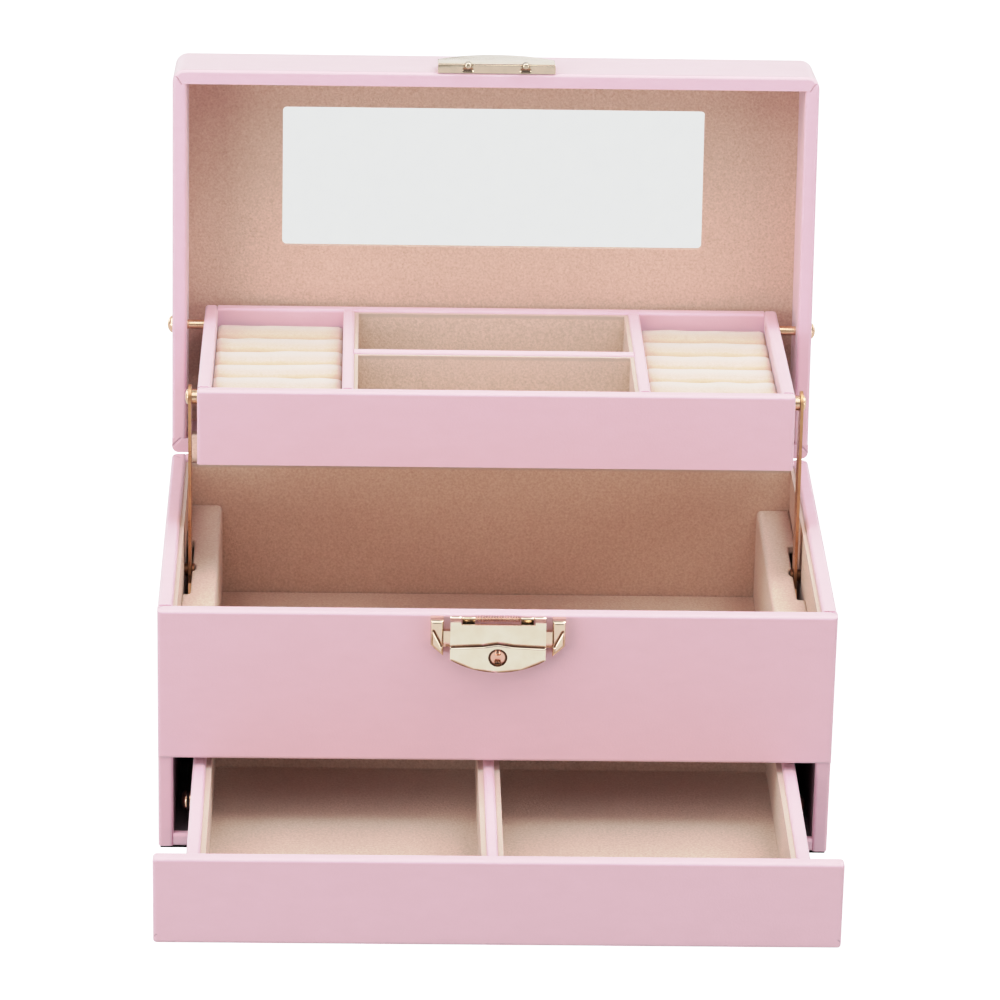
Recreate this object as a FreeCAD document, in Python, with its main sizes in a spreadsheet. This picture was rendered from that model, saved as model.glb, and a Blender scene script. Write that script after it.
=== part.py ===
import FreeCAD, Part
import math
import os
import re

from FreeCAD import Placement, Rotation, Vector

# Tiered jewellery box: a wrapped board cabinet with a drawer at the bottom, a deep lid with a mirror,
# and a tray that rises as the lid opens. Two rocker levers at the sides carry the front of the tray
# and push the drawer out.
# Origin: the middle of the underside. +X to the right, +Y to the back, +Z up. Millimetres.
# Everything is drawn shut, with y counted from the cabinet's front face. A placement then opens it.

SIZES = {
    # Cabinet of wrapped boards
    "width": 225,
    "depth": 137,
    "base_height": 88,
    "board": 5,
    "felt": 0.8,
    "felt_inset": 0.6,
    "bottom_board": 4.5,
    "stile_setback": 1.5,
    "bay_ceiling": 34.1,
    "middle_board": 2.4,
    "wrap_round": 1.2,
    "cabinet_corner": 2,
    # Velvet covered cards and the padded blocks
    "card": 1.4,
    "floor_card": 1,
    "floor_gap": 0.6,
    "lining_drop": 1.5,
    "bay_paper": 0.4,
    "block_width": 11.6,
    "block_drop": 17,
    "block_round": 1.8,
    "block_roof": 3.5,
    "slot_ahead": 22.8,
    "slot_behind": 23.6,
    "slot_width": 2.8,
    "well_width": 5.4,
    "well_ahead": 35.4,
    "well_behind": 38.6,
    # Lid
    "lid_gap": 0.3,
    "lid_height": 33.4,
    "lid_top_board": 4.5,
    "lid_corner": 4.4,
    "lid_rear_corner": 2.2,
    "open_angle": 97.7,
    "mirror_to_side": 38,
    "mirror_height": 50,
    "mirror_to_front": 17.5,
    "mirror_corner": 1.5,
    "mirror_lap": 3,
    "mirror_glass": 1.5,
    "mirror_card": 3,
    # Velvet strip over the hinge line
    "strip_thickness": 0.8,
    "strip_rise": 0.9,
    "strip_turn": 1.6,
    "strip_lap": 8,
    # Tray
    "tray_side_gap": 6,
    "tray_depth": 95,
    "tray_height": 26.6,
    "tray_board": 4.5,
    "tray_floor": 2.5,
    "tray_tilt": 2.83,
    "tray_divider": 4,
    "ring_bay": 44.5,
    "cross_divider": 3.6,
    "cross_to_front": 45.6,
    "tray_card": 1.4,
    "tray_card_drop": 1,
    "ring_drop": 5.2,
    "ring_groove": 2.6,
    "ring_rolls": 6,
    "ring_gap": 0.2,
    # Linkage
    "pivot_to_hinge": 44.1,
    "pivot_over_rim": 10.3,
    "pivot_to_tray_front": 82.4,
    "pivot_under_tray_top": 3.4,
    "stud_to_tray_front": 8.3,
    "stud_under_tray_top": 5,
    "rocker_drop": 18,
    "foot_height": 9.87,
    "rocker_inset": 2.1,
    "rocker_plate": 1,
    "rocker_half_width": 4.2,
    "pivot_shank": 1.5,
    "pivot_collar": 2.1,
    "pivot_head": 0.9,
    "stud_shank": 1.5,
    "stud_collar": 2.6,
    "stud_dome": 1,
    "tray_pin": 1.6,
    "tray_pin_head": 3.1,
    "tray_pin_dome": 2,
    "pin_depth": 3,
    "running_gap": 0.05,
    "side_gap": 0.15,
    # Drawer and the slotted plates on its sides
    "drawer_side_gap": 6.6,
    "drawer_rear_gap": 12.8,
    "drawer_board": 4.5,
    "drawer_floor": 2.5,
    "drawer_front_inset": 1,
    "drawer_front_board": 5,
    "drawer_front_gap": 0.3,
    "drawer_front_bottom": 1.9,
    "drawer_front_top": 32.5,
    "drawer_side_top": 31.5,
    "drawer_lift": 0.3,
    "drawer_card": 1.8,
    "drawer_card_drop": 1.2,
    "drawer_divider": 3.7,
    "divider_offset": -2,
    "slide_stud_to_rear": 43,
    "slide_stud_height": 14.5,
    "slide_stud_shank": 1.6,
    "slide_stud_collar": 3.1,
    "slide_stud_head": 3.5,
    "slide_stud_dome": 1.7,
    "slide_plate": 1,
    "slide_plate_gap": 0.4,
    "slide_bar": 3.8,
    "slide_rivet": 1.4,
    "slot_wall": 2.4,
    "drive_pin": 1.3,
    "drive_pin_head": 2.3,
    # Lock and hasp
    "lock_half_width": 22.3,
    "lock_reach": 19.7,
    "lock_curve": 29.8,
    "lock_drop": 0.8,
    "lock_body": 14.7,
    "lock_body_drop": 3.6,
    "lock_depth": 3.2,
    "lock_prong": 1.2,
    "lock_prong_spacing": 24,
    "flap_half_width": 15.8,
    "flap_plate": 0.9,
    "flap_back": 4.4,
    "flap_crease_out": 4.9,
    "flap_tail_out": 4.5,
    "flap_crease_drop": 9.5,
    "flap_drop": 1.8,
    "flap_edge": 0.9,
    "wing_inner": 18,
    "wing_depth": 4.6,
    "wing_round": 1.2,
    "tab_depth": 2,
    "tab_below_crease": 1.6,
    "tab_above_crease": 4,
    "latch_pin_drop": 1.2,
    "latch_pin_out": 1.25,
    "latch_pin": 0.4,
    "latch_gap": 0.03,
    "lug_inner": 7.6,
    "lug_outer": 11.8,
    "lug_radius": 0.65,
    "ear_inner": 12.2,
    "ear_radius": 0.8,
    "spring_radius": 0.85,
    "spring_wire": 0.4,
    "spring_turns": 16,
    "spring_length": 14.2,
    "plug_radius": 3.1,
    "plug_drop": 13.3,
    "plug_face": 5.5,
    "bezel_radius": 4,
    "bezel_face": 5.7,
    "keyway_width": 1.8,
    "keyway_depth": 1.1,
    "keyway_web": 1.5,
    "hasp_half_width": 20.4,
    "hasp_height": 19,
    "hasp_shoulder": 9.5,
    "hasp_depth": 3.2,
    "hasp_round": 0.5,
    "hook_spacing": 20,
    "hook_out": 3.1,
    "hook_radius": 1.1,
    "hook_length": 3.4,
    # Rear hinges
    "hinge_offset": 70,
    "hinge_length": 26,
    "hinge_middle": 8.6,
    "hinge_leaf": 0.7,
    "hinge_drop": 10,
    "hinge_barrel": 1.5,
    "hinge_notch": 0.3,
    "hinge_pin": 0.7,
    "screw_head": 1.6,
    "screw_dome": 0.6,
    "screw_shank": 0.8,
    "screw_length": 4,
    "screw_spacing": 16,
    "screw_drop": 6,
    # Carrying handle
    "handle_span": 76,
    "handle_rise": 17,
    "handle_width": 15,
    "handle_strap": 4,
    "handle_foot": 12,
    "cap_length": 14,
    "cap_wall": 1.5,
    "cap_round": 1,
}

# Lines and faces that several pieces share, worked out in the sheet
SHARED = {
    "inside": "width / 2 - board",
    "card_face": "inside - card",
    "floor_top": "bay_ceiling + middle_board",
    "bay_floor": "felt + bottom_board",
    "rear_inside": "depth - board",
    "hinge_height": "base_height + lid_gap / 2",
    "lid_rim": "base_height + lid_gap",
    "block_top": "base_height - block_drop",
    "rocker_height": "base_height - rocker_drop",
    "lid_face": "lid_rim + lid_height",
    "lid_ceiling": "lid_face - lid_top_board",
    "panel_face": "lid_ceiling - mirror_card",
    "mirror_half": "width / 2 - mirror_to_side",
    "pivot_line": "depth - pivot_to_hinge",
    "pivot_height": "hinge_height + pivot_over_rim",
    "tray_front": "pivot_line - pivot_to_tray_front",
    "tray_rear": "tray_front + tray_depth",
    "tray_top": "pivot_height + pivot_under_tray_top",
    "tray_base": "tray_top - tray_height",
    "tray_side": "inside - tray_side_gap",
    "tray_inside": "tray_side - tray_board",
    "ring_inner": "tray_inside - ring_bay",
    "middle_side": "ring_inner - tray_divider",
    "stud_line": "tray_front + stud_to_tray_front",
    "stud_height": "tray_top - stud_under_tray_top",
    "lift_back": "pivot_to_hinge * (1 - cos(open_angle)) + pivot_over_rim * sin(open_angle)",
    "lift_up": "pivot_to_hinge * sin(open_angle) - pivot_over_rim * (1 - cos(open_angle))",
    "arm_run": "stud_line - pivot_line",
    "arm_drop": "stud_height - pivot_height",
    "open_stud_line": "pivot_line + lift_back + arm_run * cos(tray_tilt) + arm_drop * sin(tray_tilt)",
    "open_stud_height": "pivot_height + lift_up - arm_run * sin(tray_tilt) + arm_drop * cos(tray_tilt)",
    "stud_gain": "(stud_line ^ 2 - open_stud_line ^ 2 + stud_height ^ 2 - open_stud_height ^ 2) / 2",
    "rocker_line": "(stud_gain - rocker_height * (stud_height - open_stud_height))"
                   " / (stud_line - open_stud_line)",
    "rocker_turn": "(atan2(stud_height - rocker_height; stud_line - rocker_line)"
                   " - atan2(open_stud_height - rocker_height; open_stud_line - rocker_line)) / 1 deg",
    "foot_arm": "rocker_height - foot_height",
    "drawer_travel": "2 * foot_arm * sin(rocker_turn / 2)",
    "rocker_in": "tray_side + rocker_inset",
    "rocker_out": "rocker_in + rocker_plate",
    "drawer_back": "stile_setback - drawer_front_gap",
    "drawer_rear": "rear_inside - drawer_rear_gap",
    "drawer_side": "inside - drawer_side_gap",
    "drawer_inside": "drawer_side - drawer_board",
    "drawer_base": "bay_floor + drawer_lift",
    "drawer_well": "drawer_base + drawer_floor",
    "slide_out": "rocker_in - slide_plate_gap",
    "slide_in": "slide_out - slide_plate",
    "slide_stud_line": "drawer_rear - slide_stud_to_rear",
    "lock_bottom": "base_height - lock_reach",
    "lock_top": "base_height - lock_drop",
    "lock_body_top": "base_height - lock_body_drop",
    "flap_crease": "base_height - flap_crease_drop",
    "flap_top": "base_height - flap_drop",
    "tab_bottom": "flap_crease - tab_below_crease",
    "tab_top": "flap_crease + tab_above_crease",
    "latch_pin_height": "base_height - latch_pin_drop",
    "plug_height": "base_height - plug_drop",
    "hasp_curve": "(hasp_half_width ^ 2 + hasp_shoulder ^ 2) / (2 * hasp_shoulder)",
}

doc = FreeCAD.newDocument("jewellery_box")
sheet = doc.addObject("Spreadsheet::Sheet", "Sizes")
cells = {word: str(number) for word, number in SIZES.items()}
cells.update({word: "=" + rule for word, rule in SHARED.items()})
for row, (word, content) in enumerate(cells.items(), start=1):
    sheet.set(f"A{row}", word)
    sheet.setAlias(f"B{row}", word)
    sheet.set(f"B{row}", content)
doc.recompute()
size = {word: float(sheet.get(word)) for word in cells}

NODES = []
PLACES = {}
NO_TURN = "rotation(vector(0; 0; 1); 0)"
LID_OPEN = ("placement(vector(0; 0; 0); rotation(vector(1; 0; 0); -open_angle);"
            " vector(0; depth / 2; hinge_height))")
TRAY_OPEN = ("placement(vector(0; lift_back; lift_up); rotation(vector(1; 0; 0); -tray_tilt);"
             " vector(0; pivot_line - depth / 2; pivot_height))")
DRAWER_OPEN = "placement(vector(0; -drawer_travel; 0); rotation(vector(1; 0; 0); 0); vector(0; 0; 0))"
SIDES = {"left": -1, "right": 1}


def bound(words):
    """The expression with every size read from the sheet."""
    def lookup(match):
        word = match.group(0)
        return "Sizes." + word if word in cells else word
    return re.sub(r"[a-z_]+", lookup, str(words))


def put(piece, x, y, z, turn=NO_TURN):
    """Places a primitive; y is counted from the cabinet's front face."""
    place = f"placement(vector({x}; ({y}) - depth / 2; {z}); {turn})"
    PLACES[piece.Name] = place
    piece.setExpression("Placement", bound(place))
    return piece


def across(side, near, far):
    """The span from near to far on one side of the middle."""
    if side > 0:
        return near, far
    return f"-({far})", f"-({near})"


def box(name, x, y, z):
    piece = doc.addObject("Part::Box", name)
    for edge, (low, high) in zip(("Length", "Width", "Height"), (x, y, z)):
        piece.setExpression(edge, bound(f"({high}) - ({low})"))
    return put(piece, x[0], y[0], z[0])


def rod(name, radius, x, y, z):
    """A round bar along X between the two x."""
    piece = doc.addObject("Part::Cylinder", name)
    piece.setExpression("Radius", bound(radius))
    piece.setExpression("Height", bound(f"({x[1]}) - ({x[0]})"))
    return put(piece, x[0], y, z, "rotation(vector(0; 1; 0); 90)")


def peg(name, radius, x, y, z):
    """A round bar along Y between the two y."""
    piece = doc.addObject("Part::Cylinder", name)
    piece.setExpression("Radius", bound(radius))
    piece.setExpression("Height", bound(f"({y[1]}) - ({y[0]})"))
    return put(piece, x, y[0], z, "rotation(vector(1; 0; 0); -90)")


def dome(name, radius, rise, turn, x, y, z):
    """A low half ellipsoid on a face, turned from +Z by the rotation."""
    piece = doc.addObject("Part::Ellipsoid", name)
    piece.setExpression("Radius1", bound(rise))
    piece.setExpression("Radius2", bound(radius))
    piece.setExpression("Radius3", bound(radius))
    piece.Angle1 = 0
    piece.Angle2 = 90
    piece.Angle3 = 360
    return put(piece, x, y, z, turn)


def fuse(name, *pieces):
    piece = doc.addObject("Part::MultiFuse", name)
    piece.Shapes = list(pieces)
    piece.Refine = True
    return piece


def cut(name, base, *tools):
    piece = doc.addObject("Part::Cut", name)
    piece.Base = base
    piece.Tool = tools[0] if len(tools) == 1 else fuse(name + "_tools", *tools)
    return piece


def common(name, first, second):
    piece = doc.addObject("Part::Common", name)
    piece.Base = first
    piece.Tool = second
    return piece


def together(name, *pieces):
    """Separate solids of one node."""
    piece = doc.addObject("Part::Compound", name)
    piece.Links = list(pieces)
    return piece


def solid(name, shape):
    """A shape worked out from the sheet's numbers."""
    piece = doc.addObject("Part::Feature", name)
    piece.Shape = shape
    return piece


def rounded(name, base, radius, pick):
    """Rounds the edges whose middle the pick accepts, given the edge's middle and the piece's box."""
    doc.recompute()
    bounds = base.Shape.BoundBox
    chosen = []
    for index, edge in enumerate(base.Shape.Edges, start=1):
        middle = edge.valueAt((edge.FirstParameter + edge.LastParameter) / 2)
        if pick(middle, bounds):
            chosen.append((index, radius, radius))
    piece = doc.addObject("Part::Fillet", name)
    piece.Base = base
    piece.Edges = chosen
    return piece


def near(first, second):
    return abs(first - second) < 0.05


def outer_edges(point, bounds):
    """Edges along the sides of a board and its top, but not those that stand on its bottom."""
    sides = near(point.x, bounds.XMin) or near(point.x, bounds.XMax)
    faces = near(point.y, bounds.YMin) or near(point.y, bounds.YMax)
    return (sides and faces) or near(point.z, bounds.ZMax)


def every_edge(point, bounds):
    return True


def finish(node, piece, opened=None):
    """Names a sub-part after its file and opens it."""
    piece.Label = node
    if opened:
        own = PLACES.get(piece.Name)
        place = f"{opened} * {own}" if own else opened
        piece.setExpression("Placement", bound(place))
    NODES.append(piece)
    return piece


WRAP = size["wrap_round"]

# Cabinet
# Six boards wrapped in leatherette. The front panel laps the cut-back front edges of the side panels.
panel = box("front_board", ("-width / 2", "width / 2"), (0, "board"), ("bay_ceiling", "base_height"))
panel = rounded("front_round", panel, WRAP, lambda point, bounds: (
    near(point.y, bounds.YMin) or (near(point.y, bounds.YMax) and near(point.z, bounds.ZMax))))
prongs = [peg(f"prong_hole_{side}", "lock_prong + running_gap", f"{sign} * lock_prong_spacing / 2",
              (-1, "board + 1"), "flap_crease") for side, sign in SIDES.items()]
finish("front_panel", cut("front_panel_cut", panel, *prongs))

for side, sign in SIDES.items():
    board = box(f"{side}_board", across(sign, "inside", "width / 2"), ("stile_setback", "depth"),
                ("felt", "base_height"))
    board = rounded(f"{side}_corner", board, size["cabinet_corner"], lambda point, bounds: (
        near(point.x, sign * size["width"] / 2) and near(point.y, bounds.YMax)
        and not near(point.z, bounds.ZMax) and not near(point.z, bounds.ZMin)))
    board = rounded(f"{side}_round", board, WRAP, lambda point, bounds: (
        outer_edges(point, bounds) and (near(point.z, bounds.ZMax) or near(point.y, bounds.YMin))))
    notch = box(f"{side}_notch", across(sign, "inside - 1", "width / 2 + 1"), ("stile_setback - 1", "board"),
                ("bay_ceiling", "base_height + 1"))
    pivot = rod(f"{side}_pivot_hole", "pivot_shank + running_gap",
                across(sign, "inside - 1", "inside + pin_depth + side_gap"), "rocker_line", "rocker_height")
    finish(f"{side}_side_panel", cut(f"{side}_side_cut", board, notch, pivot))

board = box("rear_board", ("-inside", "inside"), ("rear_inside", "depth"), ("bay_floor", "base_height"))
board = rounded("rear_round", board, WRAP, lambda point, bounds: (
    near(point.z, bounds.ZMax) and not near(abs(point.x), bounds.XMax)))


def hinge_recess(name, sign):
    """The groove that takes the hinge's barrel at the rear edge."""
    middle = f"{sign} * hinge_offset"
    return rod(name, "hinge_barrel + hinge_notch",
               (f"{middle} - hinge_length / 2 - hinge_notch", f"{middle} + hinge_length / 2 + hinge_notch"),
               "depth", "hinge_height")


def screw_places(up):
    """The four screws of one pair of leaves: their x and z."""
    height = f"hinge_height + {up} * screw_drop"
    return [(f"{sign} * hinge_offset + {end} * screw_spacing / 2", height)
            for sign in (-1, 1) for end in (-1, 1)]


def screw_holes(name, up, depths):
    return [peg(f"{name}_{number}", "screw_shank + running_gap", x, depths, z)
            for number, (x, z) in enumerate(screw_places(up))]


grooves = [hinge_recess(f"rear_groove_{side}", sign) for side, sign in SIDES.items()]
holes = screw_holes("rear_screw_hole", -1, ("depth - screw_length", "depth + 1"))
finish("rear_panel", cut("rear_panel_cut", board, *grooves, *holes))

board = box("bottom_plain", ("-inside", "inside"), ("stile_setback", "depth"), ("felt", "bay_floor"))
finish("bottom_panel", rounded("bottom_round", board, WRAP, lambda point, bounds: (
    near(point.y, bounds.YMin) and not near(abs(point.x), bounds.XMax))))

finish("base_felt", box("felt_sheet", ("-width / 2 + felt_inset", "width / 2 - felt_inset"),
                        ("stile_setback + felt_inset", "depth - felt_inset"), (0, "felt")))

slots = [box(f"floor_slot_{side}", across(sign, "card_face - slot_width", "card_face"),
             ("rocker_line - well_ahead", "rocker_line + well_behind"), ("bay_ceiling - 1", "floor_top + 1"))
         for side, sign in SIDES.items()]
board = box("middle_plain", ("-inside", "inside"), ("board", "rear_inside"), ("bay_ceiling", "floor_top"))
finish("middle_floor", cut("middle_floor_cut", board, *slots))

# Main compartment
# Velvet covered cards line its four walls and floor; a padded block at each side hides a rocker.
LINING_TOP = "base_height - lining_drop"
cards = [box("front_card", ("-card_face", "card_face"), ("board", "board + card"),
             ("floor_top", LINING_TOP)),
         box("rear_card", ("-card_face", "card_face"), ("rear_inside - card", "rear_inside"),
             ("floor_top", LINING_TOP))]
for side, sign in SIDES.items():
    card = box(f"{side}_card", across(sign, "card_face", "inside"), ("board", "rear_inside"),
               ("floor_top", LINING_TOP))
    hole = rod(f"{side}_card_hole", "pivot_shank + running_gap", across(sign, "card_face - 1", "inside + 1"),
               "rocker_line", "rocker_height")
    cards.append(cut(f"{side}_card_cut", card, hole))
finish("wall_linings", together("wall_cards", *cards))
finish("floor_lining", box("floor_sheet", ("-card_face + block_width", "card_face - block_width"),
                           ("board + card + floor_gap", "rear_inside - card - floor_gap"),
                           ("floor_top", "floor_top + floor_card")))

papers = []
for side, sign in SIDES.items():
    pad = box(f"{side}_pad", across(sign, "card_face - block_width", "card_face"),
              ("board + card", "rear_inside - card"), ("floor_top", "block_top"))
    inner = -sign * (size["card_face"] - size["block_width"])
    pad = rounded(f"{side}_pad_round", pad, size["block_round"], lambda point, bounds: (
        near(point.z, bounds.ZMax) and near(point.x, -inner)))
    well = box(f"{side}_well", across(sign, "card_face - well_width", "card_face + 1"),
               ("rocker_line - well_ahead", "rocker_line + well_behind"),
               ("floor_top - 1", "block_top - block_roof"))
    slot = box(f"{side}_slot", across(sign, "card_face - slot_width", "card_face + 1"),
               ("rocker_line - slot_ahead", "rocker_line + slot_behind"),
               ("block_top - block_roof - 1", "block_top + 1"))
    head = box(f"{side}_head_room", across(sign, "rocker_in - side_gap - pivot_head - 0.3", "card_face + 1"),
               ("rocker_line - pivot_collar - 0.4", "rocker_line + pivot_collar + 0.4"),
               ("block_top - block_roof - 1", "block_top + 1"))
    finish(f"{side}_side_block", cut(f"{side}_block_cut", pad, well, slot, head))
    papers.append(box(f"{side}_bay_paper", across(sign, "inside - bay_paper", "inside"),
                      ("board", "rear_inside"), ("bay_floor", "bay_ceiling")))
finish("bay_liners", together("bay_papers", *papers))


def pivot_pin(side, sign):
    """A headed pin through the lining into the side panel, with a collar that stands the rocker off."""
    shank = rod(f"{side}_pivot_shank", "pivot_shank",
                across(sign, "rocker_in - side_gap - pivot_head", "inside + pin_depth"),
                "rocker_line", "rocker_height")
    collar = rod(f"{side}_pivot_collar", "pivot_collar", across(sign, "rocker_out + side_gap", "card_face"),
                 "rocker_line", "rocker_height")
    head = rod(f"{side}_pivot_head", "pivot_collar",
               across(sign, "rocker_in - side_gap - pivot_head", "rocker_in - side_gap"),
               "rocker_line", "rocker_height")
    return fuse(f"{side}_pivot_pin", shank, collar, head)


finish("rocker_pivot_pins", together("pivot_pins", *[pivot_pin(side, sign) for side, sign in SIDES.items()]))

# Rear hinges
# Two brass butt hinges: leaves screwed to the rear faces, barrels let into the edges.


def leaf(name, sign, up):
    """One leaf with its knuckles; up is 1 on the lid and -1 on the cabinet."""
    middle = f"{sign} * hinge_offset"
    low, high = f"{middle} - hinge_length / 2", f"{middle} + hinge_length / 2"
    inner_low, inner_high = f"{middle} - hinge_middle / 2", f"{middle} + hinge_middle / 2"
    if up > 0:
        spans = [(f"{inner_low} + side_gap", f"{inner_high} - side_gap")]
        plate_z = ("hinge_height + hinge_barrel + hinge_notch", "hinge_height + hinge_drop")
        web_z = ("hinge_height", "hinge_height + hinge_barrel + hinge_notch")
    else:
        spans = [(low, inner_low), (inner_high, high)]
        plate_z = ("hinge_height - hinge_drop", "hinge_height - hinge_barrel - hinge_notch")
        web_z = ("hinge_height - hinge_barrel - hinge_notch", "hinge_height")
    pieces = [box(f"{name}_plate", (low, high), ("depth", "depth + hinge_leaf"), plate_z)]
    for number, span in enumerate(spans):
        pieces.append(box(f"{name}_web_{number}", span, ("depth", "depth + hinge_leaf"), web_z))
        pieces.append(rod(f"{name}_knuckle_{number}", "hinge_barrel", span, "depth", "hinge_height"))
    bore = rod(f"{name}_bore", "hinge_pin + running_gap", (f"{low} - 1", f"{high} + 1"), "depth",
               "hinge_height")
    places = screw_places(up)[:2] if sign < 0 else screw_places(up)[2:]
    holes = [peg(f"{name}_hole_{number}", "screw_shank + running_gap", x, ("depth - 1", "depth + 2"), z)
             for number, (x, z) in enumerate(places)]
    return cut(f"{name}_cut", fuse(f"{name}_plain", *pieces), bore, *holes)


def screws(name, up):
    """Four small round-headed screws."""
    solids = []
    for number, (x, z) in enumerate(screw_places(up)):
        shank = peg(f"{name}_shank_{number}", "screw_shank", x,
                    ("depth - screw_length + side_gap", "depth + hinge_leaf"), z)
        head = dome(f"{name}_head_{number}", "screw_head", "screw_dome", "rotation(vector(1; 0; 0); -90)",
                    x, "depth + hinge_leaf", z)
        solids.append(fuse(f"{name}_{number}", shank, head))
    return together(name, *solids)


finish("cabinet_hinge_leaves", together("lower_leaves", *[
    leaf(f"{side}_lower", sign, -1) for side, sign in SIDES.items()]))
finish("lid_hinge_leaves", together("upper_leaves", *[
    leaf(f"{side}_upper", sign, 1) for side, sign in SIDES.items()]), LID_OPEN)
pins = [rod(f"{side}_hinge_rod", "hinge_pin", (f"{sign} * hinge_offset - hinge_length / 2",
                                               f"{sign} * hinge_offset + hinge_length / 2"),
            "depth", "hinge_height") for side, sign in SIDES.items()]
finish("hinge_pins", together("hinge_rods", *pins))
finish("cabinet_hinge_screws", screws("lower_screws", -1))
finish("lid_hinge_screws", screws("upper_screws", 1), LID_OPEN)


def turned(point, centre, degrees):
    """A (y, z) point turned about X."""
    angle = math.radians(degrees)
    run = point[0] - centre[0]
    rise = point[1] - centre[1]
    return (centre[0] + run * math.cos(angle) - rise * math.sin(angle),
            centre[1] + run * math.sin(angle) + rise * math.cos(angle))


def flat(points, x_low, x_high):
    """A plate: an outline of (y, z) points, y from the front face, drawn out along X."""
    half = size["depth"] / 2
    corners = [Vector(x_low, y - half, z) for y, z in points]
    face = Part.Face(Part.makePolygon(corners + corners[:1]))
    return face.extrude(Vector(x_high - x_low, 0, 0))


# Hinge strip
# Velvet that covers the gap inside the hinge line, drawn as it lies with the lid open.
HINGE = (size["depth"], size["hinge_height"])
card_middle = size["rear_inside"] - size["card"] / 2
half_strip = size["strip_thickness"] / 2
lid_wall = size["rear_inside"] - half_strip - size["running_gap"]
strip_path = [(card_middle, size["base_height"] - size["lining_drop"] + half_strip / 2),
              (card_middle, size["base_height"] + size["strip_rise"]),
              turned((card_middle - half_strip, size["lid_rim"] - half_strip), HINGE, -size["open_angle"]),
              turned((lid_wall, size["lid_rim"] + size["strip_turn"]), HINGE, -size["open_angle"]),
              turned((lid_wall, size["lid_rim"] + size["strip_lap"]), HINGE, -size["open_angle"])]


def offset_path(path, distance):
    """The path moved sideways, to its left."""
    moved = []
    for index, point in enumerate(path):
        before = path[max(index - 1, 0)]
        after = path[min(index + 1, len(path) - 1)]
        run, rise = after[0] - before[0], after[1] - before[1]
        length = math.hypot(run, rise)
        moved.append((point[0] - rise / length * distance, point[1] + run / length * distance))
    return moved


strip = flat(offset_path(strip_path, half_strip) + offset_path(strip_path, -half_strip)[::-1],
             -size["card_face"] + size["side_gap"], size["card_face"] - size["side_gap"])
finish("hinge_strip", solid("hinge_strip_solid", strip))

# Lid
# Five boards, wrapped inside and out, and a velvet panel with the mirror behind its window.
lid_pin_holes = {sign: rod(f"lid_pin_hole_{side}", "tray_pin + running_gap",
                           across(sign, "card_face - 1", "width / 2 + 1"), "pivot_line", "pivot_height")
                 for side, sign in SIDES.items()}


def upright(point, bounds):
    """The outer vertical corners of the lid's front or back board."""
    return near(abs(point.x), bounds.XMax) and near((bounds.ZMin + bounds.ZMax) / 2, point.z)


board = box("lid_front_plain", ("-width / 2", "width / 2"), (0, "board"), ("lid_rim", "lid_ceiling"))
board = rounded("lid_front_corners", board, size["lid_corner"], lambda point, bounds: (
    upright(point, bounds) and near(point.y, bounds.YMin)))
finish("lid_front", rounded("lid_front_round", board, WRAP, lambda point, bounds: (
    near(point.z, bounds.ZMin) and near(point.y, bounds.YMin))), LID_OPEN)
board = box("lid_rear_plain", ("-width / 2", "width / 2"), ("rear_inside", "depth"),
            ("lid_rim", "lid_ceiling"))
board = rounded("lid_rear_corners", board, size["lid_rear_corner"], lambda point, bounds: (
    upright(point, bounds) and near(point.y, bounds.YMax)))
grooves = [hinge_recess(f"lid_groove_{side}", sign) for side, sign in SIDES.items()]
holes = screw_holes("lid_screw_hole", 1, ("depth - screw_length", "depth + 1"))
finish("lid_rear", cut("lid_rear_cut", board, *grooves, *holes), LID_OPEN)
for side, sign in SIDES.items():
    board = box(f"lid_{side}_plain", across(sign, "inside", "width / 2"), ("board", "rear_inside"),
                ("lid_rim", "lid_ceiling"))
    board = rounded(f"lid_{side}_round", board, WRAP, lambda point, bounds: (
        near(point.z, bounds.ZMin) and not near(point.y, bounds.YMin) and not near(point.y, bounds.YMax)))
    finish(f"lid_{side}", cut(f"lid_{side}_cut", board, lid_pin_holes[sign]), LID_OPEN)
board = box("lid_top_plain", ("-width / 2", "width / 2"), (0, "depth"), ("lid_ceiling", "lid_face"))
for end, radius in {"front": size["lid_corner"], "rear": size["lid_rear_corner"]}.items():
    board = rounded(f"lid_top_{end}_corners", board, radius, lambda point, bounds: (
        near(abs(point.x), bounds.XMax) and near(point.y, bounds.YMin if end == "front" else bounds.YMax)
        and not near(point.z, bounds.ZMin) and not near(point.z, bounds.ZMax)))
finish("lid_top", rounded("lid_top_round", board, WRAP, lambda point, bounds: (
    near(point.z, bounds.ZMax))), LID_OPEN)

panel = box("mirror_panel_plain", ("-inside", "inside"), ("board", "rear_inside"),
            ("panel_face", "lid_ceiling"))
window = box("mirror_window", ("-mirror_half", "mirror_half"),
             ("mirror_to_front", "mirror_to_front + mirror_height"), ("panel_face - 1", "lid_ceiling + 1"))
window = rounded("mirror_window_round", window, size["mirror_corner"], lambda point, bounds: (
    near((bounds.ZMin + bounds.ZMax) / 2, point.z)))
MIRROR_X = ("-mirror_half - mirror_lap", "mirror_half + mirror_lap")
MIRROR_Y = ("mirror_to_front - mirror_lap", "mirror_to_front + mirror_height + mirror_lap")
rebate = box("mirror_rebate", MIRROR_X, MIRROR_Y, ("lid_ceiling - mirror_glass", "lid_ceiling + 1"))
finish("mirror_panel", cut("mirror_panel_cut", panel, window, rebate), LID_OPEN)
finish("mirror", box("mirror_plate", MIRROR_X, MIRROR_Y, ("lid_ceiling - mirror_glass", "lid_ceiling")),
       LID_OPEN)

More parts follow.
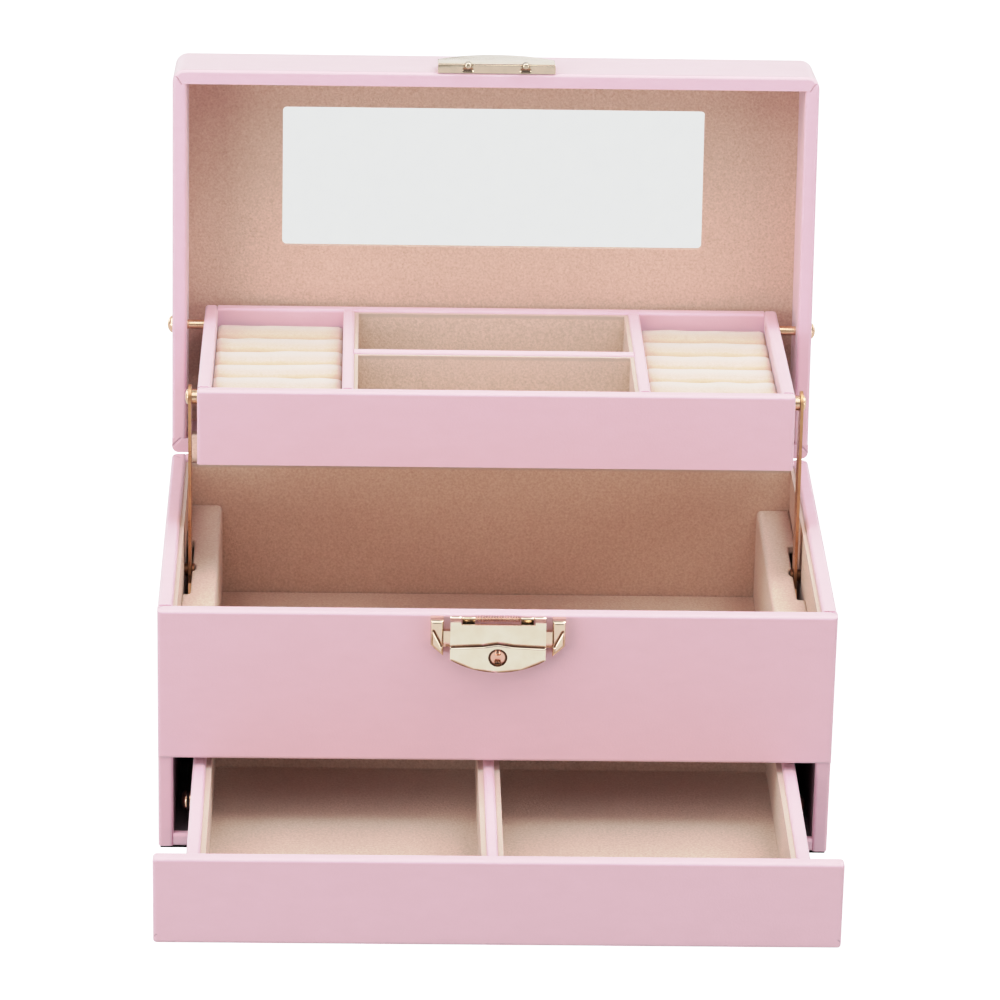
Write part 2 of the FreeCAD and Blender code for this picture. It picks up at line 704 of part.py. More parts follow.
# Hasp
# A cast plate with an arched edge on the lid's front, and two round hooks that drop into the lock.
plate = box("hasp_plain", ("-hasp_half_width", "hasp_half_width"), ("-hasp_depth", 0),
            ("lid_rim", "lid_rim + hasp_height"))
arch = peg("hasp_arch", "hasp_curve", 0, ("-hasp_depth - 1", 1), "lid_rim + hasp_height - hasp_curve")
plate = rounded("hasp_round_edges", common("hasp_lens", plate, arch), size["hasp_round"],
                lambda point, bounds: near(point.y, bounds.YMin))
hooks = []
for side, sign in SIDES.items():
    hook = doc.addObject("Part::Cylinder", f"hook_{side}")
    hook.setExpression("Radius", bound("hook_radius"))
    hook.setExpression("Height", bound("hook_length"))
    hooks.append(put(hook, f"{sign} * hook_spacing / 2", "-hook_out", "lid_rim - hook_length"))
hasp = fuse("hasp_fused", plate, *hooks)
finish("hasp", rounded("hasp_ends", hasp, size["hasp_round"], lambda point, bounds: (
    near(point.z, bounds.ZMin))), LID_OPEN)

# Tray pivot pins
# A domed pin at each side goes through the lid and ends in the tray's side board.
pins = []
for side, sign in SIDES.items():
    shank = rod(f"tray_pin_shank_{side}", "tray_pin",
                across(sign, "tray_inside + side_gap * 2", "width / 2"), "pivot_line", "pivot_height")
    turn = f"rotation(vector(0; 1; 0); {90 * sign})"
    head = dome(f"tray_pin_dome_{side}", "tray_pin_head", "tray_pin_dome", turn, f"{sign} * width / 2",
                "pivot_line", "pivot_height")
    pins.append(fuse(f"tray_pin_{side}", shank, head))
finish("tray_pivot_pins", together("tray_pins", *pins), LID_OPEN)

# Handle
# A stiff wrapped strap arched over the lid, its ends held down by two metal caps.


def arch(half_span, crown, end):
    """Points of one face of the arch: start, crown and end."""
    return [Vector(-half_span, strap_line, end), Vector(0, strap_line, crown),
            Vector(half_span, strap_line, end)]


strap_line = -size["handle_width"] / 2
half_span = size["handle_span"] / 2
lid_face = size["lid_face"]
strap_top = lid_face + size["handle_strap"]
crown = lid_face + size["handle_rise"]
under = arch(half_span, crown - size["handle_strap"], lid_face)
over = arch(half_span, crown, strap_top)
foot = Vector(size["handle_foot"], 0, 0)
corners = [under[2], under[2] + foot, over[2] + foot, over[2]]
edges = [Part.Arc(*under).toShape(), Part.Arc(*over).toShape()]
for first, second in zip(corners, corners[1:]):
    edges.append(Part.LineSegment(first, second).toShape())
corners = [under[0], under[0] - foot, over[0] - foot, over[0]]
for first, second in zip(corners, corners[1:]):
    edges.append(Part.LineSegment(first, second).toShape())
outline = Part.Wire(Part.__sortEdges__(edges))
band = Part.Face(outline).extrude(Vector(0, size["handle_width"], 0))
finish("handle_strap", solid("handle_band", band), LID_OPEN)
caps = []
for side, sign in SIDES.items():
    span = across(sign, "handle_span / 2 + 1", "handle_span / 2 + 1 + cap_length")
    cap = box(f"cap_plain_{side}", span, ("(depth - handle_width) / 2 - cap_wall - side_gap",
                                         "(depth + handle_width) / 2 + cap_wall + side_gap"),
              ("lid_face", "lid_face + handle_strap + cap_wall + side_gap"))
    cap = rounded(f"cap_round_{side}", cap, size["cap_round"], outer_edges)
    tunnel = box(f"cap_tunnel_{side}", across(sign, "handle_span / 2", "handle_span / 2 + handle_foot"
                                              " + side_gap"),
                 ("(depth - handle_width) / 2 - side_gap", "(depth + handle_width) / 2 + side_gap"),
                 ("lid_face - 1", "lid_face + handle_strap"))
    caps.append(cut(f"cap_{side}", cap, tunnel))
finish("handle_end_caps", together("handle_caps", *caps), LID_OPEN)

# Tray
# Wrapped boards round a ring roll bay at each end and two velvet lined compartments in the middle.
board = box("tray_front_plain", ("-tray_side", "tray_side"), ("tray_front", "tray_front + tray_board"),
            ("tray_base", "tray_top"))
finish("tray_front_board", rounded("tray_front_round", board, WRAP, outer_edges), TRAY_OPEN)
board = box("tray_rear_plain", ("-tray_inside", "tray_inside"), ("tray_rear - tray_board", "tray_rear"),
            ("tray_base", "tray_top"))
finish("tray_rear_board", rounded("tray_rear_round", board, WRAP, lambda point, bounds: (
    near(point.z, bounds.ZMax) and not near(abs(point.x), bounds.XMax))), TRAY_OPEN)
for side, sign in SIDES.items():
    board = box(f"tray_{side}_plain", across(sign, "tray_inside", "tray_side"),
                ("tray_front + tray_board", "tray_rear"), ("tray_base", "tray_top"))
    board = rounded(f"tray_{side}_round", board, WRAP, lambda point, bounds: (
        outer_edges(point, bounds) and not near(point.y, bounds.YMin)))
    pivot = rod(f"tray_{side}_pivot", "tray_pin + running_gap",
                across(sign, "tray_inside - 1", "tray_side + 1"), "pivot_line", "pivot_height")
    stud = rod(f"tray_{side}_stud", "stud_shank + running_gap",
               across(sign, "tray_side - pin_depth - side_gap", "tray_side + 1"), "stud_line", "stud_height")
    finish(f"tray_{side}_board", cut(f"tray_{side}_cut", board, pivot, stud), TRAY_OPEN)
TRAY_INSIDE_Y = ("tray_front + tray_board", "tray_rear - tray_board")
TRAY_WELL = "tray_base + tray_floor"
finish("tray_floor_board", box("tray_floor_plain", ("-tray_inside", "tray_inside"), TRAY_INSIDE_Y,
                               ("tray_base", TRAY_WELL)), TRAY_OPEN)
for side, sign in SIDES.items():
    board = box(f"tray_{side}_divider_plain", across(sign, "middle_side", "ring_inner"), TRAY_INSIDE_Y,
                (TRAY_WELL, "tray_top"))
    finish(f"tray_{side}_divider", rounded(f"tray_{side}_divider_round", board, WRAP, lambda point, bounds: (
        near(point.z, bounds.ZMax) and not near(point.y, bounds.YMin) and not near(point.y, bounds.YMax))),
        TRAY_OPEN)
CROSS = ("tray_front + cross_to_front - cross_divider / 2",
         "tray_front + cross_to_front + cross_divider / 2")
board = box("tray_cross_plain", ("-middle_side", "middle_side"), CROSS, (TRAY_WELL, "tray_top"))
finish("tray_cross_divider", rounded("tray_cross_round", board, WRAP, lambda point, bounds: (
    near(point.z, bounds.ZMax) and not near(abs(point.x), bounds.XMax))), TRAY_OPEN)


def liner(name, x, y, z, wall, floor):
    """An open box of velvet covered card."""
    outside = box(name + "_outside", x, y, z)
    hollow = box(name + "_hollow", (f"{x[0]} + {wall}", f"{x[1]} - ({wall})"),
                 (f"{y[0]} + {wall}", f"{y[1]} - ({wall})"), (f"{z[0]} + {floor}", f"{z[1]} + 1"))
    return cut(name, outside, hollow)


MIDDLE = ("-middle_side", "middle_side")
CARD_TOP = "tray_top - tray_card_drop"
liners = [liner(name, MIDDLE, span, (TRAY_WELL, CARD_TOP), "tray_card", "floor_card")
          for name, span in {"front_tray_card": (TRAY_INSIDE_Y[0], CROSS[0]),
                             "rear_tray_card": (CROSS[1], TRAY_INSIDE_Y[1])}.items()]
finish("tray_liners", together("tray_cards", *liners), TRAY_OPEN)


def ring_rolls(x_low, x_high):
    """A cushion of round rolls side by side, with a groove between each two for the rings."""
    gap = size["ring_gap"]
    front = size["tray_front"] + size["tray_board"] + gap
    rear = size["tray_rear"] - size["tray_board"] - gap
    bottom = size["tray_base"] + size["tray_floor"]
    crown = size["tray_top"] - size["ring_drop"]
    groove = crown - size["ring_groove"]
    count = max(1, int(size["ring_rolls"]))
    pitch = (rear - front) / count
    half = size["depth"] / 2
    edges = []
    for index in range(count):
        start = front + index * pitch - half
        edges.append(Part.Arc(Vector(x_low, start, groove), Vector(x_low, start + pitch / 2, crown),
                              Vector(x_low, start + pitch, groove)).toShape())
    corners = [Vector(x_low, rear - half, groove), Vector(x_low, rear - half, bottom),
               Vector(x_low, front - half, bottom), Vector(x_low, front - half, groove)]
    for first, second in zip(corners, corners[1:]):
        edges.append(Part.LineSegment(first, second).toShape())
    return Part.Face(Part.Wire(edges)).extrude(Vector(x_high - x_low, 0, 0))


for side, sign in SIDES.items():
    ends = sorted((sign * (size["ring_inner"] + size["ring_gap"]),
                   sign * (size["tray_inside"] - size["ring_gap"])))
    finish(f"{side}_ring_cushion", solid(f"{side}_ring_solid", ring_rolls(*ends)), TRAY_OPEN)

studs = []
for side, sign in SIDES.items():
    shank = rod(f"stud_shank_{side}", "stud_shank", across(sign, "tray_side - pin_depth",
                                                         "rocker_out + side_gap"),
                "stud_line", "stud_height")
    collar = rod(f"stud_collar_{side}", "stud_collar", across(sign, "tray_side", "rocker_in - side_gap"),
                 "stud_line", "stud_height")
    head = dome(f"stud_dome_{side}", "stud_collar", "stud_dome", f"rotation(vector(0; 1; 0); {90 * sign})",
                f"{sign} * (rocker_out + side_gap)", "stud_line", "stud_height")
    studs.append(fuse(f"rocker_stud_{side}", shank, collar, head))
finish("rocker_studs", together("rocker_stud_pair", *studs), TRAY_OPEN)

# Rockers
# The lid turns at a steady rate, and the tray, rocker and drawer keep fixed ratios to it. The shares below
# run from 0, open, to 1, shut. The rocker turns on the tray's stud, its long hole rides on the pivot pin
# in the cabinet, and the pin at its foot works in the upright slot of the drawer's plate.
STEPS = 24
PIVOT_SHUT = (size["pivot_line"], size["pivot_height"])
STUD_SHUT = (size["stud_line"], size["stud_height"])
STUD_OPEN = (size["open_stud_line"], size["open_stud_height"])
ROCKER_PIN = (size["rocker_line"], size["rocker_height"])
GAP = size["running_gap"]


ROCKER_TURN = size["rocker_turn"]
FOOT_OPEN = turned((ROCKER_PIN[0], size["foot_height"]), ROCKER_PIN, -ROCKER_TURN / 2)


def stud_at(share):
    """The tray's stud when the lid has closed by this share."""
    pivot = turned(PIVOT_SHUT, HINGE, -size["open_angle"] * (1 - share))
    arm = turned((STUD_SHUT[0] - PIVOT_SHUT[0], STUD_SHUT[1] - PIVOT_SHUT[1]), (0, 0),
                 -size["tray_tilt"] * (1 - share))
    return pivot[0] + arm[0], pivot[1] + arm[1]


def on_rocker(point, share):
    """A fixed point of the cabinet, as it lies on the rocker drawn open."""
    stud = stud_at(share)
    arm = turned((point[0] - stud[0], point[1] - stud[1]), (0, 0), -ROCKER_TURN * share)
    return STUD_OPEN[0] + arm[0], STUD_OPEN[1] + arm[1]


def foot_at(share):
    """The rocker's foot pin on the drawer, drawn shut."""
    stud = stud_at(share)
    arm = turned((FOOT_OPEN[0] - STUD_OPEN[0], FOOT_OPEN[1] - STUD_OPEN[1]), (0, 0), ROCKER_TURN * share)
    return (stud[0] + arm[0] + size["drawer_travel"] * (1 - share), stud[1] + arm[1])


shares = [step / STEPS for step in range(STEPS + 1)]
pin_trace = [on_rocker(ROCKER_PIN, share) for share in shares]
foot_trace = [foot_at(share) for share in shares]
arm_length = math.dist(STUD_OPEN, ROCKER_PIN)
arm_way = ((ROCKER_PIN[0] - STUD_OPEN[0]) / arm_length, (ROCKER_PIN[1] - STUD_OPEN[1]) / arm_length)
along = [(point[0] - STUD_OPEN[0]) * arm_way[0] + (point[1] - STUD_OPEN[1]) * arm_way[1]
         for point in pin_trace]
aside = [(point[0] - STUD_OPEN[0]) * arm_way[1] - (point[1] - STUD_OPEN[1]) * arm_way[0]
         for point in pin_trace]


def along_arm(distance, shift=0):
    return (STUD_OPEN[0] + arm_way[0] * distance + arm_way[1] * shift,
            STUD_OPEN[1] + arm_way[1] * distance - arm_way[0] * shift)


def capsule(first, second, radius, x_low, x_high):
    """A plate with round ends round two (y, z) points."""
    half = size["depth"] / 2
    angle = math.atan2(second[1] - first[1], second[0] - first[0])
    side = (-math.sin(angle) * radius, math.cos(angle) * radius)
    ahead = (math.cos(angle) * radius, math.sin(angle) * radius)

    def at(point, *moves):
        y = point[0] + sum(move[0] for move in moves)
        z = point[1] + sum(move[1] for move in moves)
        return Vector(x_low, y - half, z)

    back = (-side[0], -side[1])
    behind = (-ahead[0], -ahead[1])
    outline = Part.Wire([
        Part.LineSegment(at(first, side), at(second, side)).toShape(),
        Part.Arc(at(second, side), at(second, ahead), at(second, back)).toShape(),
        Part.LineSegment(at(second, back), at(first, back)).toShape(),
        Part.Arc(at(first, back), at(first, behind), at(first, side)).toShape(),
    ])
    return Part.Face(outline).extrude(Vector(x_high - x_low, 0, 0))


def disc(point, radius, x_low, x_high):
    half = size["depth"] / 2
    return Part.makeCylinder(radius, x_high - x_low, Vector(x_low, point[0] - half, point[1]),
                             Vector(1, 0, 0))


def rocker(sign):
    """A bent plate: stud hole at the top, long hole at the pivot pin and a headed pin at the foot."""
    low, high = sorted((sign * size["rocker_in"], sign * size["rocker_out"]))
    half_width = size["rocker_half_width"]
    plate = capsule(STUD_OPEN, along_arm(max(along)), half_width, low, high)
    plate = plate.fuse(capsule(along_arm(max(along)), FOOT_OPEN, half_width, low, high)).removeSplitter()
    plate = plate.cut(disc(STUD_OPEN, size["stud_shank"] + GAP, low - 1, high + 1))
    reach = size["pivot_shank"] + GAP + (max(aside) - min(aside)) / 2
    shift = (max(aside) + min(aside)) / 2
    plate = plate.cut(capsule(along_arm(min(along), shift), along_arm(max(along), shift), reach,
                              low - 1, high + 1))
    inner = size["slide_in"] - size["slide_plate_gap"]
    pin_low, pin_high = sorted((sign * inner, sign * (size["rocker_out"])))
    pin = disc(FOOT_OPEN, size["drive_pin"], pin_low, pin_high)
    head_low, head_high = sorted((sign * size["rocker_out"],
                                  sign * (size["rocker_out"] + size["pivot_head"])))
    head = disc(FOOT_OPEN, size["drive_pin_head"], head_low, head_high)
    return plate.fuse([pin, head]).removeSplitter()


for side, sign in SIDES.items():
    finish(f"{side}_rocker", solid(f"{side}_rocker_solid", rocker(sign)))

print(f"rocker turn {ROCKER_TURN:.4f} degrees, drawer travel {size['drawer_travel']:.4f}")
print(f"long hole {max(along) - min(along):.2f} along, {max(aside) - min(aside):.2f} across")
print(f"pivot pin at y {ROCKER_PIN[0] - size['depth'] / 2:.4f}, z {ROCKER_PIN[1]:.4f}")
print(f"open stud at y {STUD_OPEN[0] - size['depth'] / 2:.4f}, z {STUD_OPEN[1]:.4f}")
TRAY_PIVOT = turned(PIVOT_SHUT, HINGE, -size["open_angle"])
print(f"open tray pivot at y {TRAY_PIVOT[0] - size['depth'] / 2:.4f}, z {TRAY_PIVOT[1]:.4f}")

# Drawer
# A wide wrapped front that laps the cabinet's edges, a boarded body and two velvet lined compartments.
board = box("drawer_front_plain", ("-width / 2 + drawer_front_inset", "width / 2 - drawer_front_inset"),
            ("drawer_back - drawer_front_board", "drawer_back"), ("drawer_front_bottom", "drawer_front_top"))
finish("drawer_front", rounded("drawer_front_round", board, WRAP, every_edge), DRAWER_OPEN)
DRAWER_Z = ("drawer_base", "drawer_side_top")
DRAWER_Y = ("drawer_back", "drawer_rear - drawer_board")
for side, sign in SIDES.items():
    board = box(f"drawer_{side}_plain", across(sign, "drawer_inside", "drawer_side"),
                ("drawer_back", "drawer_rear"), DRAWER_Z)
    board = rounded(f"drawer_{side}_round", board, WRAP, lambda point, bounds: (
        near(point.z, bounds.ZMax) and not near(point.y, bounds.YMin)))
    holes = []
    for name, y, z, radius in (("stud", "slide_stud_line", "slide_stud_height", "slide_stud_shank"),
                               ("rivet", "drawer_rear - 2 * drawer_board", "drawer_side_top - drawer_board",
                                "slide_rivet")):
        holes.append(rod(f"drawer_{side}_{name}_hole", radius + " + running_gap",
                         across(sign, "drawer_side - pin_depth - side_gap", "drawer_side + 1"), y, z))
    finish(f"drawer_{side}_board", cut(f"drawer_{side}_cut", board, *holes), DRAWER_OPEN)
board = box("drawer_rear_plain", ("-drawer_inside", "drawer_inside"), (DRAWER_Y[1], "drawer_rear"), DRAWER_Z)
finish("drawer_rear_board", rounded("drawer_rear_round", board, WRAP, lambda point, bounds: (
    near(point.z, bounds.ZMax) and not near(abs(point.x), bounds.XMax))), DRAWER_OPEN)
finish("drawer_bottom", box("drawer_bottom_plain", ("-drawer_inside", "drawer_inside"), DRAWER_Y,
                            ("drawer_base", "drawer_well")), DRAWER_OPEN)
SPLIT = ("divider_offset - drawer_divider / 2", "divider_offset + drawer_divider / 2")
board = box("drawer_divider_plain", SPLIT, DRAWER_Y, ("drawer_well", "drawer_side_top"))
finish("drawer_divider", rounded("drawer_divider_round", board, WRAP, lambda point, bounds: (
    near(point.z, bounds.ZMax) and not near(point.y, bounds.YMin) and not near(point.y, bounds.YMax))),
    DRAWER_OPEN)
LINER_Z = ("drawer_well", "drawer_side_top - drawer_card_drop")
liners = [liner(name, span, DRAWER_Y, LINER_Z, "drawer_card", "floor_card")
          for name, span in {"left_drawer_card": ("-drawer_inside", SPLIT[0]),
                             "right_drawer_card": (SPLIT[1], "drawer_inside")}.items()]
finish("drawer_liners", together("drawer_cards", *liners), DRAWER_OPEN)

# Drawer plates
# A riveted strip at each side of the drawer. The rocker's foot pin rides in the upright slot at its back.
foot_y = [point[0] for point in foot_trace]
foot_z = [point[1] for point in foot_trace]
slot_reach = size["drive_pin"] + size["side_gap"] + (max(foot_y) - min(foot_y)) / 2
slot_line = (max(foot_y) + min(foot_y)) / 2
slot_low = (slot_line, min(foot_z))
slot_high = (slot_line, max(foot_z))
STUD_AT = (size["slide_stud_line"], size["slide_stud_height"])
RIVET_AT = (size["drawer_rear"] - 2 * size["drawer_board"], size["drawer_side_top"] - size["drawer_board"])
print(f"drive slot {max(foot_z) - min(foot_z):.2f} tall, {max(foot_y) - min(foot_y):.2f} wide")


def slide_plate(sign):
    low, high = sorted((sign * size["slide_in"], sign * size["slide_out"]))
    yoke = slot_reach + size["slot_wall"]
    bar_end = (slot_line, STUD_AT[1])
    plate = capsule(STUD_AT, bar_end, size["slide_bar"], low, high)
    plate = plate.fuse([capsule(slot_low, slot_high, yoke, low, high),
                        capsule(slot_high, RIVET_AT, size["slide_bar"], low, high)]).removeSplitter()
    plate = plate.cut(capsule(slot_low, slot_high, slot_reach, low - 1, high + 1))
    plate = plate.cut(disc(STUD_AT, size["slide_stud_shank"] + GAP, low - 1, high + 1))
    return plate.cut(disc(RIVET_AT, size["slide_rivet"] + GAP, low - 1, high + 1))


def slide_studs(sign):
    """The domed stud near the front and the flat rivet at the back, with their collars."""
    solids = []
    for point, shank, collar, rise in ((STUD_AT, "slide_stud_shank", "slide_stud_collar", "slide_stud_dome"),
                                       (RIVET_AT, "slide_rivet", "drive_pin_head", "side_gap")):
        out = size["slide_out"]
        spans = ((size["drawer_side"] - size["pin_depth"], out, size[shank]),
                 (size["drawer_side"], size["slide_in"], size[collar]))
        parts = []
        for start, end, radius in spans:
            low, high = sorted((sign * start, sign * end))
            parts.append(disc(point, radius, low, high))
        ball = Part.makeSphere(1, Vector(0, 0, 0), Vector(0, 0, 1), 0, 90, 360)
        stretch = FreeCAD.Matrix()
        head = size["slide_stud_head"] if rise == "slide_stud_dome" else size[collar]
        stretch.scale(head, head, size[rise])
        ball = ball.transformGeometry(stretch)
        ball.Placement = Placement(Vector(sign * out, point[0] - size["depth"] / 2, point[1]),
                                   Rotation(Vector(0, 1, 0), 90 * sign))
        solids.append(parts[0].fuse([parts[1], ball]).removeSplitter())
    return solids


finish("drawer_plates", solid("drawer_plate_pair", Part.makeCompound([slide_plate(-1), slide_plate(1)])),
       DRAWER_OPEN)
finish("drawer_plate_studs", solid("drawer_studs", Part.makeCompound(slide_studs(-1) + slide_studs(1))),
       DRAWER_OPEN)

# Lock
# A cast base with two wings, a spring loaded flap on a pin along its top, and a round key plug in the flap.
lens = peg("lock_lens", "lock_curve", 0, ("-10", 1), "lock_bottom + lock_curve")
bodies = [box("lock_centre", ("-lock_body", "lock_body"), ("-lock_depth", 0),
              ("lock_bottom - 1", "lock_body_top"))]
for side, sign in SIDES.items():
    wing = box(f"wing_{side}_plain", across(sign, "wing_inner", "lock_half_width"), ("-wing_depth", 0),
               ("lock_bottom - 1", "lock_top"))
    wing = common(f"wing_{side}_lens", wing, lens)
    bodies.append(rounded(f"wing_{side}", wing, size["wing_round"], lambda point, bounds: (
        near(point.y, bounds.YMin))))
    bodies.append(box(f"tab_{side}", across(sign, "lock_body - 0.1", "wing_inner + 0.1"), ("-tab_depth", 0),
                      ("tab_bottom", "tab_top")))
    bodies.append(box(f"lug_web_{side}", across(sign, "lug_inner", "lug_outer"),
                      ("-latch_pin_out - lug_radius", "-latch_pin_out + lug_radius"),
                      ("lock_body_top", "latch_pin_height")))
    bodies.append(rod(f"lug_{side}", "lug_radius", across(sign, "lug_inner", "lug_outer"),
                      "-latch_pin_out", "latch_pin_height"))
    bodies.append(peg(f"prong_{side}", "lock_prong", f"{sign} * lock_prong_spacing / 2",
                      (-1, "board - side_gap"), "flap_crease"))
lug_bore = rod("lug_bore", "latch_pin + latch_gap", ("-lug_outer - 1", "lug_outer + 1"),
               "-latch_pin_out", "latch_pin_height")
centre = common("lock_centre_lens", bodies[0], lens)
finish("lock_base", cut("lock_base_cut", fuse("lock_base_plain", centre, *bodies[1:]), lug_bore))
finish("latch_pin", rod("latch_rod", "latch_pin", ("-flap_half_width + side_gap",
                                                   "flap_half_width - side_gap"),
                        "-latch_pin_out", "latch_pin_height"))

flap_tail = size["lock_bottom"]
back = [(-size["flap_back"], size["flap_top"]), (-size["flap_crease_out"], size["flap_crease"]),
        (-size["flap_tail_out"], flap_tail)]
face = [(y - size["flap_plate"], z) for y, z in reversed(back)]
sheet_metal = solid("flap_sheet", flat(back + face, -size["flap_half_width"], size["flap_half_width"]))
flap_lens = peg("flap_lens", "lock_curve", 0, ("-10", 1), "lock_bottom + flap_edge + lock_curve")
parts = [common("flap_outline", sheet_metal, flap_lens)]
for side, sign in SIDES.items():
    parts.append(box(f"ear_{side}", across(sign, "ear_inner", "flap_half_width"),
                     ("-flap_back - flap_plate", "-latch_pin_out"),
                     ("flap_top - latch_pin", "latch_pin_height + latch_pin")))
    parts.append(rod(f"ear_knuckle_{side}", "ear_radius", across(sign, "ear_inner", "flap_half_width"),
                     "-latch_pin_out", "latch_pin_height"))
parts.append(peg("plug_bezel", "bezel_radius", 0, ("-bezel_face", "-flap_tail_out - side_gap"),
                 "plug_height"))
ear_bore = rod("ear_bore", "latch_pin + latch_gap", ("-flap_half_width - 1", "flap_half_width + 1"),
               "-latch_pin_out", "latch_pin_height")
plug_hole = peg("plug_hole", "plug_radius + running_gap", 0, ("-10", 0), "plug_height")
finish("lock_flap", cut("lock_flap_cut", fuse("flap_plain", *parts), ear_bore, plug_hole))

barrel = peg("plug_barrel", "plug_radius", 0, ("-plug_face", "-lock_depth - side_gap"), "plug_height")
ways = [box(f"keyway_{word}", ("-keyway_width / 2", "keyway_width / 2"),
            ("-plug_face - 1", "-plug_face + keyway_depth"), span)
        for word, span in {"upper": ("plug_height + keyway_web / 2", "plug_height + plug_radius + 1"),
                           "lower": ("plug_height - plug_radius - 1",
                                     "plug_height - keyway_web / 2")}.items()]
finish("key_plug", cut("key_plug_cut", barrel, *ways))


def biarc(start, start_way, end, end_way):
    """Two arcs that leave and arrive along the given directions."""
    chord = end - start
    ways = start_way + end_way
    bend = 2 * (1 - start_way.dot(end_way))
    reach = (math.sqrt(chord.dot(ways) ** 2 + bend * chord.dot(chord)) - chord.dot(ways)) / bend
    first = start + start_way * reach
    second = end - end_way * reach
    joint = (first + second) * 0.5
    edges = []
    for tail, corner, tip in ((start, first, joint), (joint, second, end)):
        middle = (tail + tip) * 0.5
        half_turn = math.acos((middle - tail).Length / (corner - tail).Length)
        crown = middle + (corner - middle) * (math.tan(half_turn / 2) / math.tan(half_turn))
        edges.append(Part.Arc(tail, crown, tip).toShape())
    return edges


def latch_spring():
    """A torsion spring round the flap's pin, one unbroken wire with a straight leg at each end."""
    turns = max(1, int(size["spring_turns"]))
    radius = size["spring_radius"]
    pitch = size["spring_length"] / turns
    centre = Vector(-size["spring_length"] / 2, -size["latch_pin_out"] - size["depth"] / 2,
                    size["latch_pin_height"])

    def point(angle):
        return centre + Vector(pitch * angle / (2 * math.pi), -radius * math.cos(angle),
                               radius * math.sin(angle))

    def way(angle):
        return Vector(pitch / (2 * math.pi), radius * math.sin(angle),
                      radius * math.cos(angle)).normalize()

    leg = size["spring_wire"] * 2
    quarter = math.pi / 2
    edges = [Part.LineSegment(point(0) - way(0) * leg, point(0)).toShape()]
    for step in range(4 * turns):
        edges += biarc(point(step * quarter), way(step * quarter), point((step + 1) * quarter),
                       way((step + 1) * quarter))
    last = 4 * turns * quarter
    edges.append(Part.LineSegment(point(last), point(last) + way(last) * leg).toShape())
    path = Part.Wire(edges)
    start = point(0) - way(0) * leg
    ring = Part.Wire([Part.Circle(start, way(0), size["spring_wire"] / 2).toShape()])
    tube = path.makePipeShell([ring], True, False)
    samples = [point(2 * math.pi * index / 36) for index in range(36 * turns)]
    least = min((one - other).Length for index, one in enumerate(samples)
                for other in samples[index + 18:])
    print(f"spring: turn radius {radius}, wire {size['spring_wire']}, least gap between turns "
          f"{least - size['spring_wire']:.3f}")
    return tube


finish("latch_spring", solid("latch_spring_solid", latch_spring()))

# Check and write every sub-part
doc.recompute()
for piece in doc.Objects:
    if "Invalid" in piece.State or "Error" in piece.State:
        raise RuntimeError(f"{piece.Label} did not compute: {piece.State}")
os.makedirs("parts", exist_ok=True)
for piece in NODES:
    shape = piece.Shape
    if shape.isNull() or not shape.isValid() or not shape.Solids:
        raise RuntimeError(f"{piece.Label} has no valid solid")
    shape.exportStep(f"parts/{piece.Label}.step")
print(f"{len(NODES)} sub-parts written")
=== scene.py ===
import math

import bmesh
import bpy
from mathutils import Matrix, Vector, noise


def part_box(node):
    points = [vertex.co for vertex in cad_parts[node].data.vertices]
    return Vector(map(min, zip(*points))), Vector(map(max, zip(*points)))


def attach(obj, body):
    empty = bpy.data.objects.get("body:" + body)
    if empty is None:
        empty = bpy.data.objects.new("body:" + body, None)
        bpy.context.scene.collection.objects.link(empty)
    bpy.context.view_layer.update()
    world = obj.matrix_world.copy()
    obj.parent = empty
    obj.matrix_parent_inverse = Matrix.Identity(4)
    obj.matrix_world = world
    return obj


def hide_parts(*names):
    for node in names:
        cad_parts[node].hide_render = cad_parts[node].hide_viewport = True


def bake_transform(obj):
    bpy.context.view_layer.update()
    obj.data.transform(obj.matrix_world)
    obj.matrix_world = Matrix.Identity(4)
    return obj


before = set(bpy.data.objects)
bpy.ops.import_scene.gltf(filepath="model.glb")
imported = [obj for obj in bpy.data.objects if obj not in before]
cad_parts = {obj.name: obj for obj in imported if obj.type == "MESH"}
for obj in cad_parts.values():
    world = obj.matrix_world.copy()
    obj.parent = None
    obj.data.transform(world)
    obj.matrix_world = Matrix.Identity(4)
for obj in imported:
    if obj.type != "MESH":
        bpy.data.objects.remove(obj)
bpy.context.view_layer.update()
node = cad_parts

# Camera
# A long lens a little to the left of the middle, looking down into the open box.
camera_data = bpy.data.cameras.new("camera")
camera = bpy.data.objects.new("camera", camera_data)
bpy.context.collection.objects.link(camera)
camera.location = (-0.046541, -1.662009, 0.800284)
camera.rotation_euler = [math.radians(angle) for angle in (67.20686, -1.0623, -1.01173)]
camera_data.lens = 190.47
camera_data.sensor_width = 36
camera_data.shift_x = 0.01749
camera_data.shift_y = -0.00512
camera_data.clip_start = 0.05
bpy.context.scene.camera = camera
view = bpy.context.scene.view_settings
view.view_transform = "Standard"
view.use_curve_mapping = True
view.curve_mapping.white_level = (1.6, 1.6, 1.6)
developing = view.curve_mapping.curves[3]
for light, shown in ((0.075, 0.113), (0.219, 0.380), (0.344, 0.555), (0.456, 0.720), (0.556, 0.800),
                     (0.625, 0.845), (0.8, 0.93)):
    developing.points.new(light, shown)
view.curve_mapping.update()


def tint(red, green, blue):
    """A colour picked on a screen, as the light that it stands for."""
    def channel(value):
        value /= 255
        return value / 12.92 if value <= 0.04045 else ((value + 0.055) / 1.055) ** 2.4
    return channel(red), channel(green), channel(blue), 1


